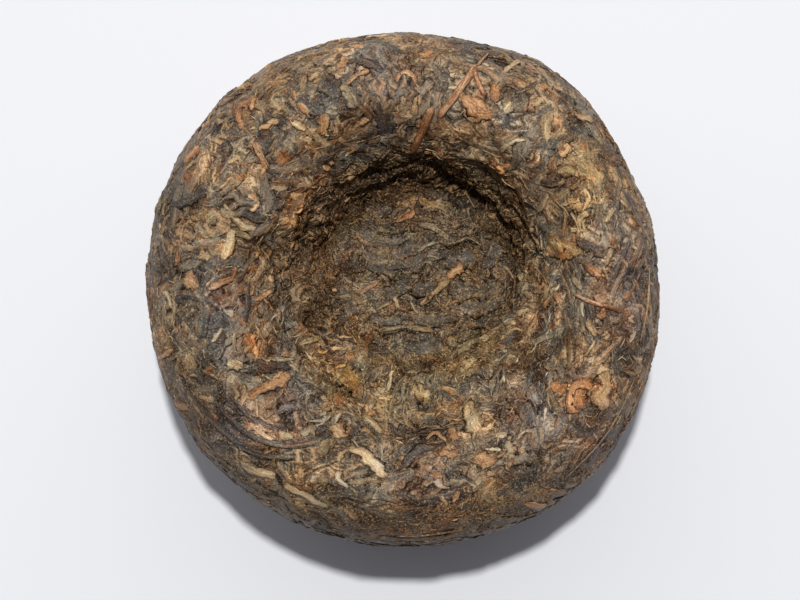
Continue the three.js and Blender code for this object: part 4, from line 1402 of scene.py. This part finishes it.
RED_PATCHES = [
    ([(345, 54), (340, 74)], 8, 0.25), ([(183, 172), (191, 180)], 11, 0.05),
    ([(246, 268), (258, 270)], 8, 0.1), ([(278, 150), (288, 164)], 14, 0.05),
    ([(306, 144), (319, 152)], 6, 0.4), ([(583, 142), (587, 156)], 11, 0.4),
    ([(334, 396), (345, 404)], 12, 0.25), ([(245, 333), (254, 350)], 13, 0.15),
    ([(371, 333), (367, 344), (368, 355)], 11, 0.3), ([(350, 299), (362, 290), (378, 282)], 5, 0.1),
    ([(388, 223), (400, 217), (414, 208), (424, 203)], 4, 0.35), ([(292, 86), (297, 100)], 7, 0.35),
    ([(548, 330), (556, 322)], 6, 0.35), ([(430, 470), (444, 480)], 8, 0.3),
]
red = traced_strips("red_patches", RED_PATCHES, wider=1.3, crown=0.06, level=-0.06 * MM)
red.data.materials.append(leaf_finish("red_patch", RUSSET_STOPS, RUSSET_STOPS, melt=(0.2, 1.1)))
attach(red, "root")

# Gaps
# Painted shadows: thin dark strips that stand for the shadow in slits under the lifted edges of leaves, most
# of them in the floor of the hollow. Each lies level with the felt round it, so the slit itself is only
# painted.
GAP_SHADOWS = [
    ([(378, 334), (388, 334), (397, 332), (405, 330), (414, 333), (424, 332), (437, 335)], 2.2, 0.2),
    ([(444, 245), (449, 249), (454, 246), (459, 244), (463, 241), (469, 241), (475, 244), (480, 246),
      (483, 253)], 2.4, 0.2),
    ([(456, 229), (463, 226), (471, 228)], 2.2, 0.2), ([(390, 235), (402, 233), (416, 232)], 1.8, 0.4),
    ([(390, 271), (399, 269), (408, 268)], 1.8, 0.4), ([(237, 449), (261, 459), (300, 460)], 2, 0.3),
    ([(213, 405), (233, 426), (258, 444)], 2, 0.3), ([(318, 328), (326, 330)], 2.6, 0.2),
    ([(430, 262), (445, 258)], 1.6, 0.5), ([(583, 393), (585, 397), (583, 401)], 5, 0.2),
    ([(601, 379), (604, 384)], 3, 0.5), ([(604, 398), (606, 403)], 3, 0.5),
    ([(276, 473), (279, 479), (281, 486)], 6, 0.3), ([(250, 478), (268, 489), (290, 502)], 4, 0.5),
]
GAP_SHADOW_TONES = (0.2, 0.8)
GAP_SHADOW_STOPS = colour_stops(GAP_SHADOW_TONES, (22, 15, 10), (44, 33, 24))
gap_shadows = traced_strips("painted_gap_shadows", GAP_SHADOWS, crown=0.1, fold=0, level=0.02 * MM, taper=0, bright=0)
# The material gap is the painted shadow of these slits
gap_shadows.data.materials.append(leaf_finish("gap", GAP_SHADOW_STOPS, GAP_SHADOW_STOPS, melt=(1.2, 1.8), felt=0.5))
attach(gap_shadows, "root")

# The floor
# A plain pale sheet that the cake lies on, matt and a little cool.
FLOOR_SIZE = 6
FLOOR_COLOUR = (0.79, 0.815, 0.86, 1)
half = FLOOR_SIZE / 2
corners = [(-half, -half, 0), (half, -half, 0), (half, half, 0), (-half, half, 0)]
floor_mesh = bpy.data.meshes.new("floor")
floor_mesh.from_pydata(corners, [], [(0, 1, 2, 3)])
floor = bpy.data.objects.new("floor", floor_mesh)
bpy.context.scene.collection.objects.link(floor)
floor_finish = Finish("pale_sheet")
floor_finish.set(Base_Color=FLOOR_COLOUR, Roughness=0.9)
floor.data.materials.append(floor_finish.material)

# The light
# One soft lamp above the far side, and a dim room whose far side is pale and fills the shadows from there.
LAMP_TILT = math.radians(13.3)
LAMP_DISTANCE = 1.5
LAMP_SIZE = 0.075
LAMP_POWER = 18.3
LAMP_COLOUR = (1, 0.98, 0.95)
FAR_SKY = (0.96, 0.95, 0.98, 1)
NEAR_SKY = (0.092, 0.09, 0.1, 1)
SKY_SIDE = (-0.12, 0.99, 0)
SKY_BAND = (-0.1, 0.9)
lamp_data = bpy.data.lights.new("soft_lamp", "AREA")
lamp_data.shape = "DISK"
lamp_data.size = LAMP_SIZE
lamp_data.energy = LAMP_POWER
lamp_data.color = LAMP_COLOUR
lamp = bpy.data.objects.new("soft_lamp", lamp_data)
lamp.location = (0, LAMP_DISTANCE * math.sin(LAMP_TILT), LAMP_DISTANCE * math.cos(LAMP_TILT))
lamp.rotation_euler = (-LAMP_TILT, 0, 0)
bpy.context.scene.collection.objects.link(lamp)
world = bpy.data.worlds.new("pale_room")
world.use_nodes = True
room = Nodes(world.node_tree)
room_heading = room.node("ShaderNodeTexCoord", output="Generated")
farward = room.node("ShaderNodeVectorMath", {"operation": "DOT_PRODUCT"}, {0: room_heading, 1: SKY_SIDE},
                    output="Value")
sky = room.mix(farward.between(*SKY_BAND), NEAR_SKY, FAR_SKY)
room.feed(world.node_tree.nodes["Background"].inputs["Color"], sky)
bpy.context.scene.world = world
bpy.context.scene.view_settings.view_transform = "Standard"

# The camera
# It looks straight down, with the hollow's axis near the middle of the picture.
SENSOR = 36
camera_data = bpy.data.cameras.new("camera")
camera_data.sensor_width = SENSOR
camera_data.lens = SENSOR * VIEW_DISTANCE / (PICTURE[0] * MM_PER_PIXEL)
camera = bpy.data.objects.new("camera", camera_data)
camera.location = (*VIEW_MIDDLE, BULGE_HEIGHT + VIEW_DISTANCE)
bpy.context.scene.collection.objects.link(camera)
bpy.context.scene.camera = camera
